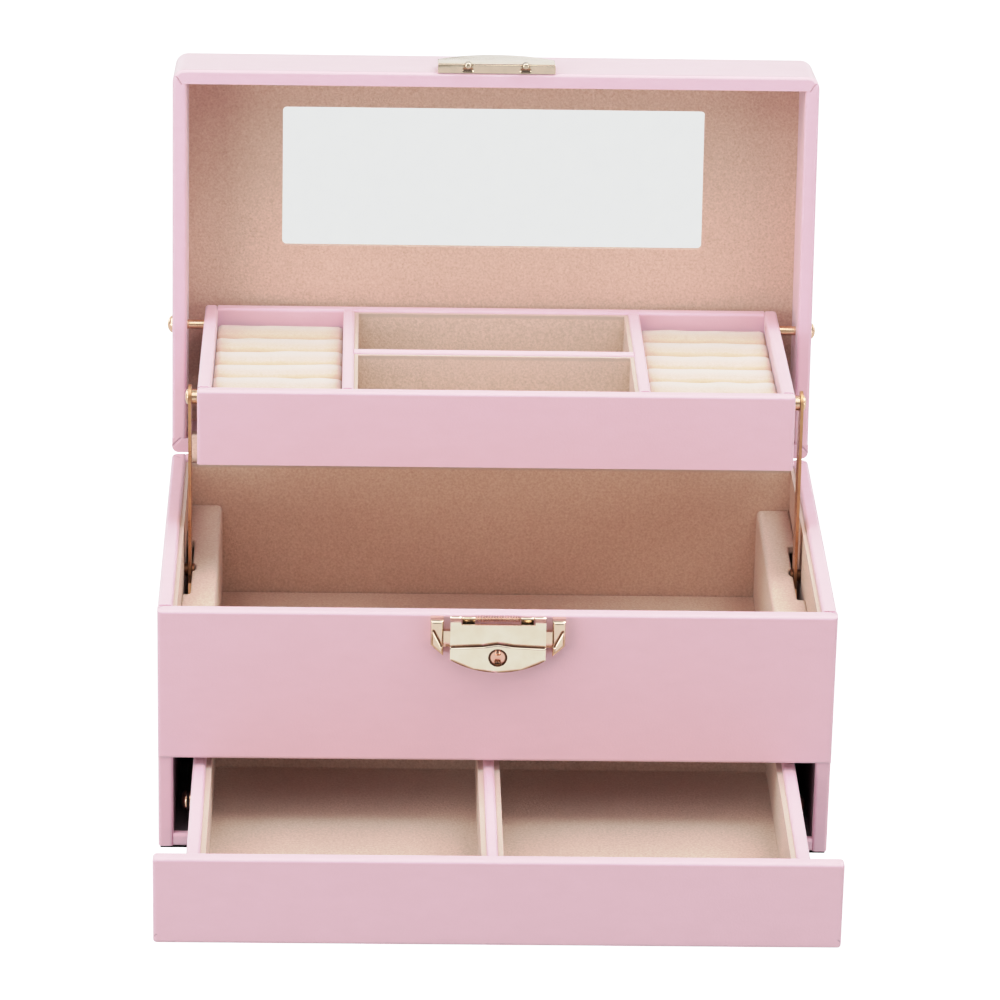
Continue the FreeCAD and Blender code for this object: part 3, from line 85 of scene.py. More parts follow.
# Studio
# A white table in a white tent, lit by a large softbox high on each side and lower ones in front.
bpy.ops.mesh.primitive_plane_add(size=14, location=(0, 0, 0))
table = bpy.context.active_object
table.name = "table"
table_paint = bpy.data.materials.new("table_paint")
table_paint.use_nodes = True
table_shader = table_paint.node_tree.nodes["Principled BSDF"]
table_shader.inputs["Base Color"].default_value = (0.42, 0.42, 0.42, 1)
table_shader.inputs["Roughness"].default_value = 0.9
table_shader.inputs["Specular IOR Level"].default_value = 0.1
table_rays = table_paint.node_tree.nodes.new("ShaderNodeLightPath")
table_glow = table_paint.node_tree.nodes.new("ShaderNodeMapRange")
table_glow.inputs["To Min"].default_value = 0.72
table_glow.inputs["To Max"].default_value = 0
table_paint.node_tree.links.new(table_rays.outputs["Is Diffuse Ray"], table_glow.inputs["Value"])
table_shader.inputs["Emission Color"].default_value = (1, 1, 1, 1)
table_dull = table_paint.node_tree.nodes.new("ShaderNodeMapRange")
table_dull.inputs["To Min"].default_value = 0.42
table_dull.inputs["To Max"].default_value = 0
table_paint.node_tree.links.new(table_rays.outputs["Is Glossy Ray"], table_dull.inputs["Value"])
table_paint.node_tree.links.new(table_dull.outputs["Result"], table_shader.inputs["Base Color"])
table_sum = table_paint.node_tree.nodes.new("ShaderNodeMath")
table_sum.operation = "MULTIPLY_ADD"
table_sum.inputs[1].default_value = 0.22
table_paint.node_tree.links.new(table_rays.outputs["Is Glossy Ray"], table_sum.inputs[0])
table_paint.node_tree.links.new(table_glow.outputs["Result"], table_sum.inputs[2])
table_burnt = table_paint.node_tree.nodes.new("ShaderNodeMath")
table_burnt.operation = "MULTIPLY_ADD"
table_burnt.inputs[1].default_value = 0.9
table_paint.node_tree.links.new(table_rays.outputs["Is Camera Ray"], table_burnt.inputs[0])
table_paint.node_tree.links.new(table_sum.outputs["Value"], table_burnt.inputs[2])
table_paint.node_tree.links.new(table_burnt.outputs["Value"], table_shader.inputs["Emission Strength"])
table.data.materials.append(table_paint)

tent = bpy.data.worlds.new("tent")
bpy.context.scene.world = tent
tent.use_nodes = True
tent_nodes = tent.node_tree.nodes
tent_links = tent.node_tree.links
tent_place = tent_nodes.new("ShaderNodeTexCoord")
tent_parts = tent_nodes.new("ShaderNodeSeparateXYZ")
tent_back = tent_nodes.new("ShaderNodeMapRange")
tent_back.inputs["From Min"].default_value = 0.1
tent_back.inputs["From Max"].default_value = 0.95
tent_back.inputs["To Min"].default_value = 0.35
tent_back.inputs["To Max"].default_value = 1.15
tent_back.interpolation_type = "SMOOTHSTEP"
tent_links.new(tent_place.outputs["Generated"], tent_parts.inputs["Vector"])
tent_links.new(tent_parts.outputs["Y"], tent_back.inputs["Value"])
tent_rays = tent_nodes.new("ShaderNodeLightPath")
tent_seen = tent_nodes.new("ShaderNodeMath")
tent_seen.operation = "SUBTRACT"
tent_seen.inputs[0].default_value = 1
tent_shown = tent_nodes.new("ShaderNodeMath")
tent_shown.operation = "MULTIPLY"
tent_links.new(tent_rays.outputs["Is Diffuse Ray"], tent_seen.inputs[1])
tent_links.new(tent_seen.outputs["Value"], tent_shown.inputs[0])
tent_links.new(tent_back.outputs["Result"], tent_shown.inputs[1])
tent_links.new(tent_shown.outputs["Value"], tent_nodes["Background"].inputs["Strength"])
tent_nodes["Background"].inputs["Color"].default_value = (1, 1, 1, 1)


def softbox(name, place, aim, width, height, power):
    """A rectangular lamp pointed at a spot."""
    lamp_data = bpy.data.lights.new(name, "AREA")
    lamp_data.shape = "RECTANGLE"
    lamp_data.size = width
    lamp_data.size_y = height
    lamp_data.energy = power
    lamp = bpy.data.objects.new(name, lamp_data)
    bpy.context.collection.objects.link(lamp)
    lamp.location = place
    lamp.rotation_euler = (Vector(aim) - Vector(place)).to_track_quat("-Z", "Y").to_euler()


softbox("right_box", (0.8, 0, 1.386), (0, 0, 0), 1.2, 1.2, 21.5)
softbox("left_box", (-0.8, 0, 1.386), (0, 0, 0), 1.2, 1.2, 12.5)
softbox("front_right", (1.51, -1.27, 0.4), (0, 0, 0.05), 1.5, 0.75, 9.5)
softbox("front_left", (-1.51, -1.27, 0.4), (0, 0, 0.05), 1.5, 0.75, 14.5)
softbox("front_high", (0, -0.8, 1.386), (0, 0, 0), 1.2, 1.2, 8)
softbox("left_mid", (-1.13, -0.65, 0.97), (0, 0, 0.05), 1, 0.8, 5)
softbox("rear_right", (1.5, 1.3, 0.25), (0, 0, 0.1), 1, 0.5, 3.5)
softbox("rear_left", (-1.5, 1.3, 0.25), (0, 0, 0.1), 1, 0.5, 3.5)

# Leatherette
# Soft polyurethane sheet with a fine pebbled grain, glued round every board of the cabinet, lid,
# tray and drawer. The boards are cut and assembled first and the sheet is folded over their edges.


def group(name, inputs, outputs):
    """An empty shader node group with named sockets."""
    tree = bpy.data.node_groups.new(name, "ShaderNodeTree")
    for label, kind, value in inputs:
        socket = tree.interface.new_socket(label, in_out="INPUT", socket_type=kind)
        if value is not None:
            socket.default_value = value
    for label, kind in outputs:
        tree.interface.new_socket(label, in_out="OUTPUT", socket_type=kind)
    return tree, tree.nodes.new("NodeGroupInput"), tree.nodes.new("NodeGroupOutput")


def pebble_group():
    """Fine rounded grain over slow, shallow unevenness of the board below."""
    tree, ask, give = group("pebbled_grain", [
        ("Place", "NodeSocketVector", None), ("Pebbles per metre", "NodeSocketFloat", 1500),
        ("Waves per metre", "NodeSocketFloat", 22)],
        [("Grain", "NodeSocketFloat"), ("Clouds", "NodeSocketFloat"), ("Waves", "NodeSocketFloat")])
    link = tree.links.new
    pebbles = tree.nodes.new("ShaderNodeTexVoronoi")
    pebbles.feature = "SMOOTH_F1"
    pebbles.inputs["Smoothness"].default_value = 0.6
    link(ask.outputs["Place"], pebbles.inputs["Vector"])
    link(ask.outputs["Pebbles per metre"], pebbles.inputs["Scale"])
    clouds = tree.nodes.new("ShaderNodeTexNoise")
    clouds.inputs["Detail"].default_value = 3
    clouds.inputs["Roughness"].default_value = 0.55
    clouds.inputs["Scale"].default_value = 240
    streak = tree.nodes.new("ShaderNodeMapping")
    streak.inputs["Scale"].default_value = (0.45, 1, 1)
    link(ask.outputs["Place"], streak.inputs["Vector"])
    link(streak.outputs["Vector"], clouds.inputs["Vector"])
    waves = tree.nodes.new("ShaderNodeTexNoise")
    waves.inputs["Detail"].default_value = 2
    link(ask.outputs["Place"], waves.inputs["Vector"])
    link(ask.outputs["Waves per metre"], waves.inputs["Scale"])
    link(pebbles.outputs["Distance"], give.inputs["Grain"])
    link(clouds.outputs["Fac"], give.inputs["Clouds"])
    link(waves.outputs["Fac"], give.inputs["Waves"])
    return tree


pebbled_grain = pebble_group()


def put_group(material, tree):
    """Places a group in a material and gives it Object coordinates."""
    nodes, links = material.node_tree.nodes, material.node_tree.links
    place = nodes.new("ShaderNodeTexCoord")
    used = nodes.new("ShaderNodeGroup")
    used.node_tree = tree
    links.new(place.outputs["Object"], used.inputs["Place"])
    return used


def spread(material, source, low, high):
    """The source's 0 to 1 stretched to low to high."""
    stretch = material.node_tree.nodes.new("ShaderNodeMapRange")
    stretch.inputs["From Min"].default_value = 0.25
    stretch.inputs["From Max"].default_value = 0.75
    stretch.inputs["To Min"].default_value = low
    stretch.inputs["To Max"].default_value = high
    material.node_tree.links.new(source, stretch.inputs["Value"])
    return stretch.outputs["Result"]


def two_tones(material, source, dark, light):
    """A colour that runs from dark to light with the source."""
    mix = material.node_tree.nodes.new("ShaderNodeMix")
    mix.data_type = "RGBA"
    material.node_tree.links.new(source, mix.inputs["Factor"])
    mix.inputs["A"].default_value = dark
    mix.inputs["B"].default_value = light
    return mix.outputs["Result"]


def raised(material, height, depth, below=None):
    """A bump of that depth in metres, on top of another one if given."""
    bump = material.node_tree.nodes.new("ShaderNodeBump")
    bump.inputs["Distance"].default_value = depth
    bump.inputs["Strength"].default_value = 1
    material.node_tree.links.new(height, bump.inputs["Height"])
    if below:
        material.node_tree.links.new(below, bump.inputs["Normal"])
    return bump.outputs["Normal"]


def fold_group():
    """How near a point is to a fold at either side: 1 on its line, 0 beyond its width."""
    tree, ask, give = group("fold_line", [
        ("Place", "NodeSocketVector", None), ("Start", "NodeSocketVector", None),
        ("Along", "NodeSocketVector", None), ("Length", "NodeSocketFloat", 0.005),
        ("Width", "NodeSocketFloat", 0.0004)], [("Line", "NodeSocketFloat")])
    link = tree.links.new

    def node_of(kind, operation, *sources):
        made = tree.nodes.new(kind)
        made.operation = operation
        for number, source in enumerate(sources):
            link(source, made.inputs[number])
        return made

    parts = tree.nodes.new("ShaderNodeSeparateXYZ")
    link(ask.outputs["Place"], parts.inputs["Vector"])
    folded = tree.nodes.new("ShaderNodeCombineXYZ")
    link(node_of("ShaderNodeMath", "ABSOLUTE", parts.outputs["X"]).outputs["Value"], folded.inputs["X"])
    link(parts.outputs["Y"], folded.inputs["Y"])
    link(parts.outputs["Z"], folded.inputs["Z"])
    away = node_of("ShaderNodeVectorMath", "SUBTRACT", folded.outputs["Vector"], ask.outputs["Start"])
    reach = node_of("ShaderNodeVectorMath", "DOT_PRODUCT", away.outputs["Vector"], ask.outputs["Along"])
    ahead = node_of("ShaderNodeMath", "MAXIMUM", reach.outputs["Value"])
    ahead.inputs[1].default_value = 0
    within = node_of("ShaderNodeMath", "MINIMUM", ahead.outputs["Value"], ask.outputs["Length"])
    nearest = tree.nodes.new("ShaderNodeVectorMath")
    nearest.operation = "SCALE"
    link(ask.outputs["Along"], nearest.inputs["Vector"])
    link(within.outputs["Value"], nearest.inputs["Scale"])
    gap = node_of("ShaderNodeVectorMath", "DISTANCE", away.outputs["Vector"], nearest.outputs["Vector"])
    fade = tree.nodes.new("ShaderNodeMapRange")
    fade.interpolation_type = "SMOOTHSTEP"
    link(gap.outputs["Value"], fade.inputs["Value"])
    link(ask.outputs["Width"], fade.inputs["From Max"])
    fade.inputs["To Min"].default_value = 1
    fade.inputs["To Max"].default_value = 0
    link(fade.outputs["Result"], give.inputs["Line"])
    return tree


fold_line = fold_group()


def folded_lines(material, folds):
    """The strongest of several folds, each a start, an end and a width in metres."""
    strongest = None
    for start, end, width in folds:
        line = put_group(material, fold_line)
        way = Vector(end) - Vector(start)
        line.inputs["Start"].default_value = start
        line.inputs["Along"].default_value = way.normalized()
        line.inputs["Length"].default_value = way.length
        line.inputs["Width"].default_value = width
        if strongest is None:
            strongest = line.outputs["Line"]
            continue
        larger = material.node_tree.nodes.new("ShaderNodeMath")
        larger.operation = "MAXIMUM"
        material.node_tree.links.new(strongest, larger.inputs[0])
        material.node_tree.links.new(line.outputs["Line"], larger.inputs[1])
        strongest = larger.outputs["Value"]
    return strongest


# The third tone is painted shade, laid along the folds and seams of the sheet.
PINK_DARK, PINK_LIGHT, PINK_FOLD_SHADE = tint(224, 184, 197), tint(227, 187, 200), tint(206, 162, 178)


def leatherette(name, folds=()):
    """Pink sheet with its folds, each a start, an end and a width in metres; each fold is darkened with
    painted shade.
    """
    material = bpy.data.materials.new(name)
    material.use_nodes = True
    shader = material.node_tree.nodes["Principled BSDF"]
    links = material.node_tree.links
    grain = put_group(material, pebbled_grain)
    colour = two_tones(material, spread(material, grain.outputs["Clouds"], 0, 1), PINK_DARK, PINK_LIGHT)
    normal = raised(material, grain.outputs["Waves"], 0.0002)
    if folds:
        # Along each fold the pink turns darker as painted shade in its crease; the sunken bump is the crease
        # itself.
        line = folded_lines(material, folds)
        fold_shade = two_tones(material, line, PINK_DARK, PINK_FOLD_SHADE)
        links.new(colour, fold_shade.node.inputs["A"])
        colour = fold_shade
        sunk = raised(material, line, 0.0002, normal)
        sunk.node.invert = True
        normal = sunk
    links.new(colour, shader.inputs["Base Color"])
    links.new(spread(material, grain.outputs["Clouds"], 0.50, 0.42), shader.inputs["Roughness"])
    links.new(raised(material, grain.outputs["Grain"], 0.00003, normal), shader.inputs["Normal"])
    shader.inputs["Specular IOR Level"].default_value = 0.5
    shader.inputs["Sheen Weight"].default_value = 0.55
    shader.inputs["Sheen Roughness"].default_value = 0.4
    return material


pink_leatherette = leatherette("pink_leatherette")


def dress(material, *names):
    """Gives CAD nodes a material."""
    for name in names:
        slots = node[name].material_slots
        for place in slots:
            place.material = material


dress(pink_leatherette, "middle_floor", "tray_rear_board", "tray_left_board", "tray_right_board",
      "tray_floor_board", "tray_left_divider", "tray_right_divider", "tray_cross_divider", "drawer_left_board",
      "drawer_right_board", "drawer_rear_board", "drawer_bottom", "drawer_divider", "handle_strap")

# Cabinet boards
# The front laps the sides, and the sheet of each board is mitred where two edges meet at a corner.
cabinet_leatherette = leatherette("cabinet_leatherette", [
    ((0.1136, -0.0677, 0.0880), (0.1095, -0.0636, 0.0880), 0.0005),
    ((0.1136, 0.0677, 0.0880), (0.1095, 0.0636, 0.0880), 0.0005),
    ((0.1147, -0.0673, 0.0380), (0.1147, -0.0673, 0.0872), 0.0003),
    ((0.1096, -0.0643, 0.0050), (0.1146, -0.0643, 0.0004), 0.0005),
    ((0.1092, -0.0644, 0.0360), (0.1120, -0.0650, 0.0360), 0.0005)])
dress(cabinet_leatherette, "front_panel", "left_side_panel", "right_side_panel", "rear_panel")

# Lid boards
# The sheet is folded round the rim and mitred at its corners; a seam runs round the outside, just above it.


def lid_spot(x, y, z):
    """Where a point of the shut lid, y from the box's front face, is with the lid open."""
    angle = math.radians(-97.7)
    run, rise = y - 0.137, z - 0.08815
    return (x, 0.0685 + run * math.cos(angle) - rise * math.sin(angle),
            0.08815 + run * math.sin(angle) + rise * math.cos(angle))


lid_leatherette = leatherette("lid_leatherette", [
    (lid_spot(0, 0, 0.0895), lid_spot(0.1105, 0, 0.0895), 0.0003),
    (lid_spot(0.1134, 0.0011, 0.0883), lid_spot(0.1107, 0.0030, 0.0883), 0.0004),
    (lid_spot(0.1107, 0.0030, 0.0883), lid_spot(0.1094, 0.0052, 0.0883), 0.0004),
    (lid_spot(0.1145, 0.0040, 0.0895), lid_spot(0.1145, 0.1340, 0.0895), 0.0003),
    (lid_spot(0.1134, 0.1359, 0.0883), lid_spot(0.1095, 0.1320, 0.0883), 0.0006)])
dress(lid_leatherette, "lid_top", "lid_front", "lid_rear", "lid_left", "lid_right")

# Tray and drawer fronts
# Their sheet wraps every edge, so each corner shows a small fold.
drawer_leatherette = leatherette("drawer_leatherette", [
    ((0.1134, -0.1394, 0.0020), (0.1104, -0.1395, 0.0050), 0.0005),
    ((0.1122, -0.1394, 0.0322), (0.1122, -0.1345, 0.0325), 0.0004),
    ((0.1128, -0.1396, 0.0040), (0.1128, -0.1396, 0.0310), 0.0003)])
dress(drawer_leatherette, "drawer_front")
dress(pink_leatherette, "tray_front_board")

# Velvet
# Short beige pile on thin card, which lines the compartments and the lid.


def pile_group():
    """Pile that leans this way and that in patches, with fine fibre tips."""
    tree, ask, give = group("leaning_pile", [
        ("Place", "NodeSocketVector", None), ("Patches per metre", "NodeSocketFloat", 1300)],
        [("Lean", "NodeSocketFloat"), ("Tips", "NodeSocketFloat")])
    link = tree.links.new
    lean = tree.nodes.new("ShaderNodeTexNoise")
    lean.inputs["Detail"].default_value = 3
    lean.inputs["Roughness"].default_value = 0.65
    link(ask.outputs["Place"], lean.inputs["Vector"])
    link(ask.outputs["Patches per metre"], lean.inputs["Scale"])
    tips = tree.nodes.new("ShaderNodeTexNoise")
    tips.inputs["Detail"].default_value = 1
    tips.inputs["Scale"].default_value = 3600
    link(ask.outputs["Place"], tips.inputs["Vector"])
    link(lean.outputs["Fac"], give.inputs["Lean"])
    link(tips.outputs["Fac"], give.inputs["Tips"])
    return tree


leaning_pile = pile_group()


def velvet(name, dark, light, brim=None):
    """Pile between two tones; brim is the way to a lining's top edge, where a paler tone is painted as its
    highlight.
    """
    material = bpy.data.materials.new(name)
    material.use_nodes = True
    shader = material.node_tree.nodes["Principled BSDF"]
    links = material.node_tree.links
    pile = put_group(material, leaning_pile)
    colour = two_tones(material, spread(material, pile.outputs["Lean"], 0, 1), dark, light)
    if brim:
        way, level = brim
        place = material.node_tree.nodes.new("ShaderNodeTexCoord")
        height = material.node_tree.nodes.new("ShaderNodeVectorMath")
        height.operation = "DOT_PRODUCT"
        links.new(place.outputs["Object"], height.inputs[0])
        height.inputs[1].default_value = way
        above = material.node_tree.nodes.new("ShaderNodeMapRange")
        links.new(height.outputs["Value"], above.inputs["Value"])
        above.inputs["From Min"].default_value = level - 0.0016
        above.inputs["From Max"].default_value = level - 0.0008
        # A paler tone is painted along the lining's top edge as a highlight.
        brim_highlight = two_tones(material, above.outputs["Result"], dark, tint(202, 180, 168))
        links.new(colour, brim_highlight.node.inputs["A"])
        colour = brim_highlight
    links.new(colour, shader.inputs["Base Color"])
    shader.inputs["Roughness"].default_value = 0.95
    shader.inputs["Sheen Weight"].default_value = 0.3
    shader.inputs["Sheen Roughness"].default_value = 0.45
    shader.inputs["Sheen Tint"].default_value = (1, 0.97, 0.95, 1)
    shader.inputs["Specular IOR Level"].default_value = 0.15
    leaned = raised(material, pile.outputs["Lean"], 0.00025)
    links.new(raised(material, pile.outputs["Tips"], 0.0001, leaned), shader.inputs["Normal"])
    return material


beige_velvet = velvet("beige_velvet", tint(198, 163, 145), tint(228, 199, 182))
cream_velvet = velvet("cream_velvet", tint(208, 180, 164), tint(232, 211, 197))
ring_velvet = velvet("ring_velvet", tint(208, 186, 168), tint(226, 208, 192))
dress(beige_velvet, "mirror_panel")
# The floor lining gets paler tones than the other linings, as painted light.
dress(velvet("floor_velvet", tint(214, 184, 164), tint(240, 217, 200)), "floor_lining")
# Each lining gets a painted highlight along its top edge.
for name, way, dark, light in (
        ("wall_linings", (0, 0, 1), tint(202, 170, 149), tint(232, 205, 188)),
        ("tray_liners", (0, 0.0494, 0.9988), tint(200, 175, 159), tint(230, 209, 196)),
        ("drawer_liners", (0, 0, 1), tint(195, 169, 152), tint(225, 203, 189))):
    highest = max(Vector(way).dot(corner.co) for corner in node[name].data.vertices)
    dress(velvet(f"{name}_velvet", dark, light, (way, highest)), name)

# Ring cushions
# Two beds of foam rolls under one loose velvet cover, pushed down between each two rolls to hold rings.
# Each bed is pressed into the bay at one end of the tray.
ROLLS = 6
ROLL_FRONT, ROLL_REAR = -0.0533, 0.0323
ROLL_INNER, ROLL_OUTER = 0.0527, 0.0968
ROLL_FLOOR, ROLL_CROWN = 0.07775, 0.09665
tray_open = (Matrix.Translation((0, 0.060216, 0.032022)) @ Matrix.Translation((0, 0.0244, 0.09845))
             @ Matrix.Rotation(math.radians(-2.83), 4, "X") @ Matrix.Translation((0, -0.0244, -0.09845)))


def block(name, low, high):
    """A block between two corners, ready to be shaped in edit mode."""
    bpy.ops.object.select_all(action="DESELECT")
    bpy.ops.mesh.primitive_cube_add(size=1, location=[(a + b) / 2 for a, b in zip(low, high)])
    made = bpy.context.active_object
    made.name = name
    made.scale = [b - a for a, b in zip(low, high)]
    bpy.ops.object.transform_apply(location=True, rotation=True, scale=True)
    bpy.ops.object.mode_set(mode="EDIT")
    return made


def choose(made, kind, test):
    """Selects the faces or edges whose middle and direction pass the test."""
    bpy.ops.mesh.select_mode(type=kind)
    bpy.ops.mesh.select_all(action="DESELECT")
    shape = bmesh.from_edit_mesh(made.data)
    if kind == "FACE":
        for face in shape.faces:
            face.select = test(face.calc_center_median(), face.normal)
    else:
        for edge in shape.edges:
            first, second = (corner.co for corner in edge.verts)
            edge.select = test((first + second) / 2, (second - first).normalized())
    shape.select_flush_mode()
    bmesh.update_edit_mesh(made.data)


def done(made, body, material, opened=None):
    """Leaves edit mode, opens the piece, smooths it and hands it to its body."""
    if bpy.context.mode != "OBJECT":
        bpy.ops.object.mode_set(mode="OBJECT")
    if opened:
        made.data.transform(opened)
    for face in made.data.polygons:
        face.use_smooth = True
    made.data.materials.clear()
    made.data.materials.append(material)
    if body:
        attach(made, body)


pitch = (ROLL_REAR - ROLL_FRONT) / ROLLS
# Painted light and shade on the cover: paler over the rear half of each roll as painted light from above,
# warmer on its front half, and darker in the creases between rolls as painted shade.
roll_shading_links = ring_velvet.node_tree.links
roll_shading_place = ring_velvet.node_tree.nodes.new("ShaderNodeTexCoord")
roll_shading_along = ring_velvet.node_tree.nodes.new("ShaderNodeVectorMath")
roll_shading_along.operation = "DOT_PRODUCT"
back_again = tray_open.inverted()
roll_shading_along.inputs[1].default_value = [value / pitch for value in back_again[1][:3]]
roll_shading_links.new(roll_shading_place.outputs["Object"], roll_shading_along.inputs[0])
roll_shading_count = ring_velvet.node_tree.nodes.new("ShaderNodeMath")
roll_shading_count.operation = "ADD"
roll_shading_count.inputs[1].default_value = (back_again[1][3] - ROLL_FRONT) / pitch
roll_shading_links.new(roll_shading_along.outputs["Value"], roll_shading_count.inputs[0])
roll_shading_fraction = ring_velvet.node_tree.nodes.new("ShaderNodeMath")
roll_shading_fraction.operation = "FRACT"
roll_shading_links.new(roll_shading_count.outputs["Value"], roll_shading_fraction.inputs[0])
roll_shading_colour = ring_velvet.node_tree.nodes["Principled BSDF"].inputs["Base Color"].links[0].from_socket
# A paler tone over each roll's rear half is painted light; the dark tones at its front and rear edges are
# painted shade in the creases.
for low, high, shade in ((0.25, 0.75, tint(222, 212, 202)), (0.2, 0.0, tint(214, 184, 158)),
                         (0.06, 0.0, tint(170, 140, 118)), (0.96, 1.0, tint(176, 148, 128))):
    roll_shading_ramp = ring_velvet.node_tree.nodes.new("ShaderNodeMapRange")
    roll_shading_ramp.interpolation_type = "SMOOTHSTEP"
    roll_shading_ramp.inputs["From Min"].default_value = low
    roll_shading_ramp.inputs["From Max"].default_value = high
    roll_shading_links.new(roll_shading_fraction.outputs["Value"], roll_shading_ramp.inputs["Value"])
    roll_shaded = two_tones(ring_velvet, roll_shading_ramp.outputs["Result"], tint(208, 186, 168), shade)
    roll_shading_links.new(roll_shading_colour, roll_shaded.node.inputs["A"])
    roll_shading_colour = roll_shaded
roll_shading_links.new(roll_shading_colour, ring_velvet.node_tree.nodes["Principled BSDF"].inputs["Base Color"])
roll = block("roll", (ROLL_INNER, ROLL_FRONT + 0.00005, ROLL_FLOOR),
             (ROLL_OUTER, ROLL_FRONT + pitch - 0.00005, ROLL_CROWN))
choose(roll, "EDGE", lambda middle, way: abs(way.x) > 0.9 and middle.z > 0.09)
bpy.ops.mesh.bevel(offset=0.0026, segments=7, profile=0.5)
choose(roll, "EDGE", lambda middle, way: abs(way.x) > 0.9)
bpy.ops.mesh.subdivide(number_cuts=30)
bpy.ops.object.mode_set(mode="OBJECT")
for side, sign in (("left", -1), ("right", 1)):
    rolls = []
    for number in range(ROLLS):
        copy = bpy.data.objects.new(f"{side}_roll_{number}", roll.data.copy())
        bpy.context.collection.objects.link(copy)
        for corner in copy.data.vertices:
            spot = corner.co
            across = (spot.x - ROLL_INNER) / (ROLL_OUTER - ROLL_INNER)
            height = max(0, (spot.z - ROLL_FLOOR) / (ROLL_CROWN - ROLL_FLOOR))
            end = max(0, 1 - min(across, 1 - across) * 60)
            spot.z -= height * 0.0006 * (1 - math.sqrt(1 - min(1, end) ** 2))
            along = (spot.y - ROLL_FRONT) / pitch * 2 - 1
            spot.z -= height * 0.0009 * along * along
            spot.z += height * 0.0005 * noise.noise(Vector((spot.x * 90, number * 7 + sign, 0.5)))
            spot.y += height * 0.0003 * noise.noise(Vector((spot.x * 110, number * 5 - sign, 4.5)))
            spot.y += number * pitch
            spot.x *= sign
        if sign < 0:
            copy.data.flip_normals()
        rolls.append(copy)
    bpy.ops.object.select_all(action="DESELECT")
    for copy in rolls:
        copy.select_set(True)
    bpy.context.view_layer.objects.active = rolls[0]
    bpy.ops.object.join()
    bed = bpy.context.active_object
    bed.name = f"{side}_ring_rolls"
    done(bed, "tray", ring_velvet, tray_open)
    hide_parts(f"{side}_ring_cushion")
bpy.data.objects.remove(roll)

# Side blocks
# A slab of firm foam under velvet at each side of the main compartment, slit along its outer edge so
# that the rocker can swing in it.


def softened(name, source, cell, rounds):
    """A copy of a node's shape with the edges of foam under cloth."""
    bpy.ops.object.select_all(action="DESELECT")
    made = bpy.data.objects.new(name, node[source].data.copy())
    bpy.context.collection.objects.link(made)
    made.select_set(True)
    bpy.context.view_layer.objects.active = made
    bpy.ops.object.mode_set(mode="EDIT")
    bpy.ops.mesh.select_all(action="SELECT")
    bpy.ops.mesh.remove_doubles(threshold=0.00001)
    bpy.ops.object.mode_set(mode="OBJECT")
    remesh = made.modifiers.new("cells", "REMESH")
    remesh.mode = "VOXEL"
    remesh.voxel_size = cell
    bpy.ops.object.modifier_apply(modifier="cells")
    smooth = made.modifiers.new("smooth", "SMOOTH")
    smooth.factor = 0.5
    smooth.iterations = rounds
    bpy.ops.object.modifier_apply(modifier="smooth")
    return made


for side in ("left", "right"):
    pad = softened(f"{side}_padded_block", f"{side}_side_block", 0.0006, 5)
    done(pad, "cabinet", cream_velvet)
    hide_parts(f"{side}_side_block")

# Hinge strip
# A strip of velvet glued to the top of the rear lining and to the lid's rear wall, which hides the gap
# above the hinges.
STRIP_HALF = 0.10595
STRIP_PATH = [(0.0628, 0.0869), (0.0628, 0.0886), (0.0632, 0.0898), (0.0645, 0.0911), (0.0661, 0.0925),
              (0.0677, 0.0938), (0.0690, 0.0943), (0.0700, 0.0938), (0.0710, 0.0933), (0.0730, 0.0930),
              (0.0773, 0.0924)]
bpy.ops.object.select_all(action="DESELECT")
bpy.ops.mesh.primitive_plane_add(size=1)
strip = bpy.context.active_object
strip.name = "velvet_hinge_strip"
bpy.ops.object.mode_set(mode="EDIT")
choose(strip, "EDGE", lambda middle, way: middle.y < -0.4)
bpy.ops.mesh.delete(type="VERT")
choose(strip, "EDGE", lambda middle, way: abs(way.x) > 0.9)
for (y, z), (next_y, next_z) in zip(STRIP_PATH, STRIP_PATH[1:]):
    bpy.ops.mesh.extrude_edges_move(TRANSFORM_OT_translate={"value": (0, next_y - y, next_z - z)})
bpy.ops.mesh.select_all(action="SELECT")
bpy.ops.transform.resize(value=(2 * STRIP_HALF, 1, 1))
bpy.ops.transform.translate(value=(0, STRIP_PATH[0][0] - 0.5, STRIP_PATH[0][1]))
bpy.ops.object.mode_set(mode="OBJECT")
thick = strip.modifiers.new("cloth", "SOLIDIFY")
thick.thickness = 0.0008
thick.offset = 0
bpy.ops.object.modifier_apply(modifier="cloth")
done(strip, None, beige_velvet)
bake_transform(strip)
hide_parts("hinge_strip")

# Metal
# Cast and pressed parts with a polished pale gold plating; pins, studs and rockers are a redder gold.


def plating_group():
    """Slow waves and smudges in a polished plating."""
    tree, ask, give = group("plating", [
        ("Place", "NodeSocketVector", None), ("Waves per metre", "NodeSocketFloat", 160)],
        [("Waves", "NodeSocketFloat"), ("Smudges", "NodeSocketFloat")])
    link = tree.links.new
    waves = tree.nodes.new("ShaderNodeTexNoise")
    waves.inputs["Detail"].default_value = 2
    link(ask.outputs["Place"], waves.inputs["Vector"])
    link(ask.outputs["Waves per metre"], waves.inputs["Scale"])
    smudges = tree.nodes.new("ShaderNodeTexNoise")
    smudges.inputs["Detail"].default_value = 4
    smudges.inputs["Scale"].default_value = 700
    link(ask.outputs["Place"], smudges.inputs["Vector"])
    link(waves.outputs["Fac"], give.inputs["Waves"])
    link(smudges.outputs["Fac"], give.inputs["Smudges"])
    return tree


plating = plating_group()


# Dark brown painted along grooves and round rings of the metal, as the shade and dark reflection that gather
# there.
PAINTED_CREASE_SHADE = tint(84, 54, 38)


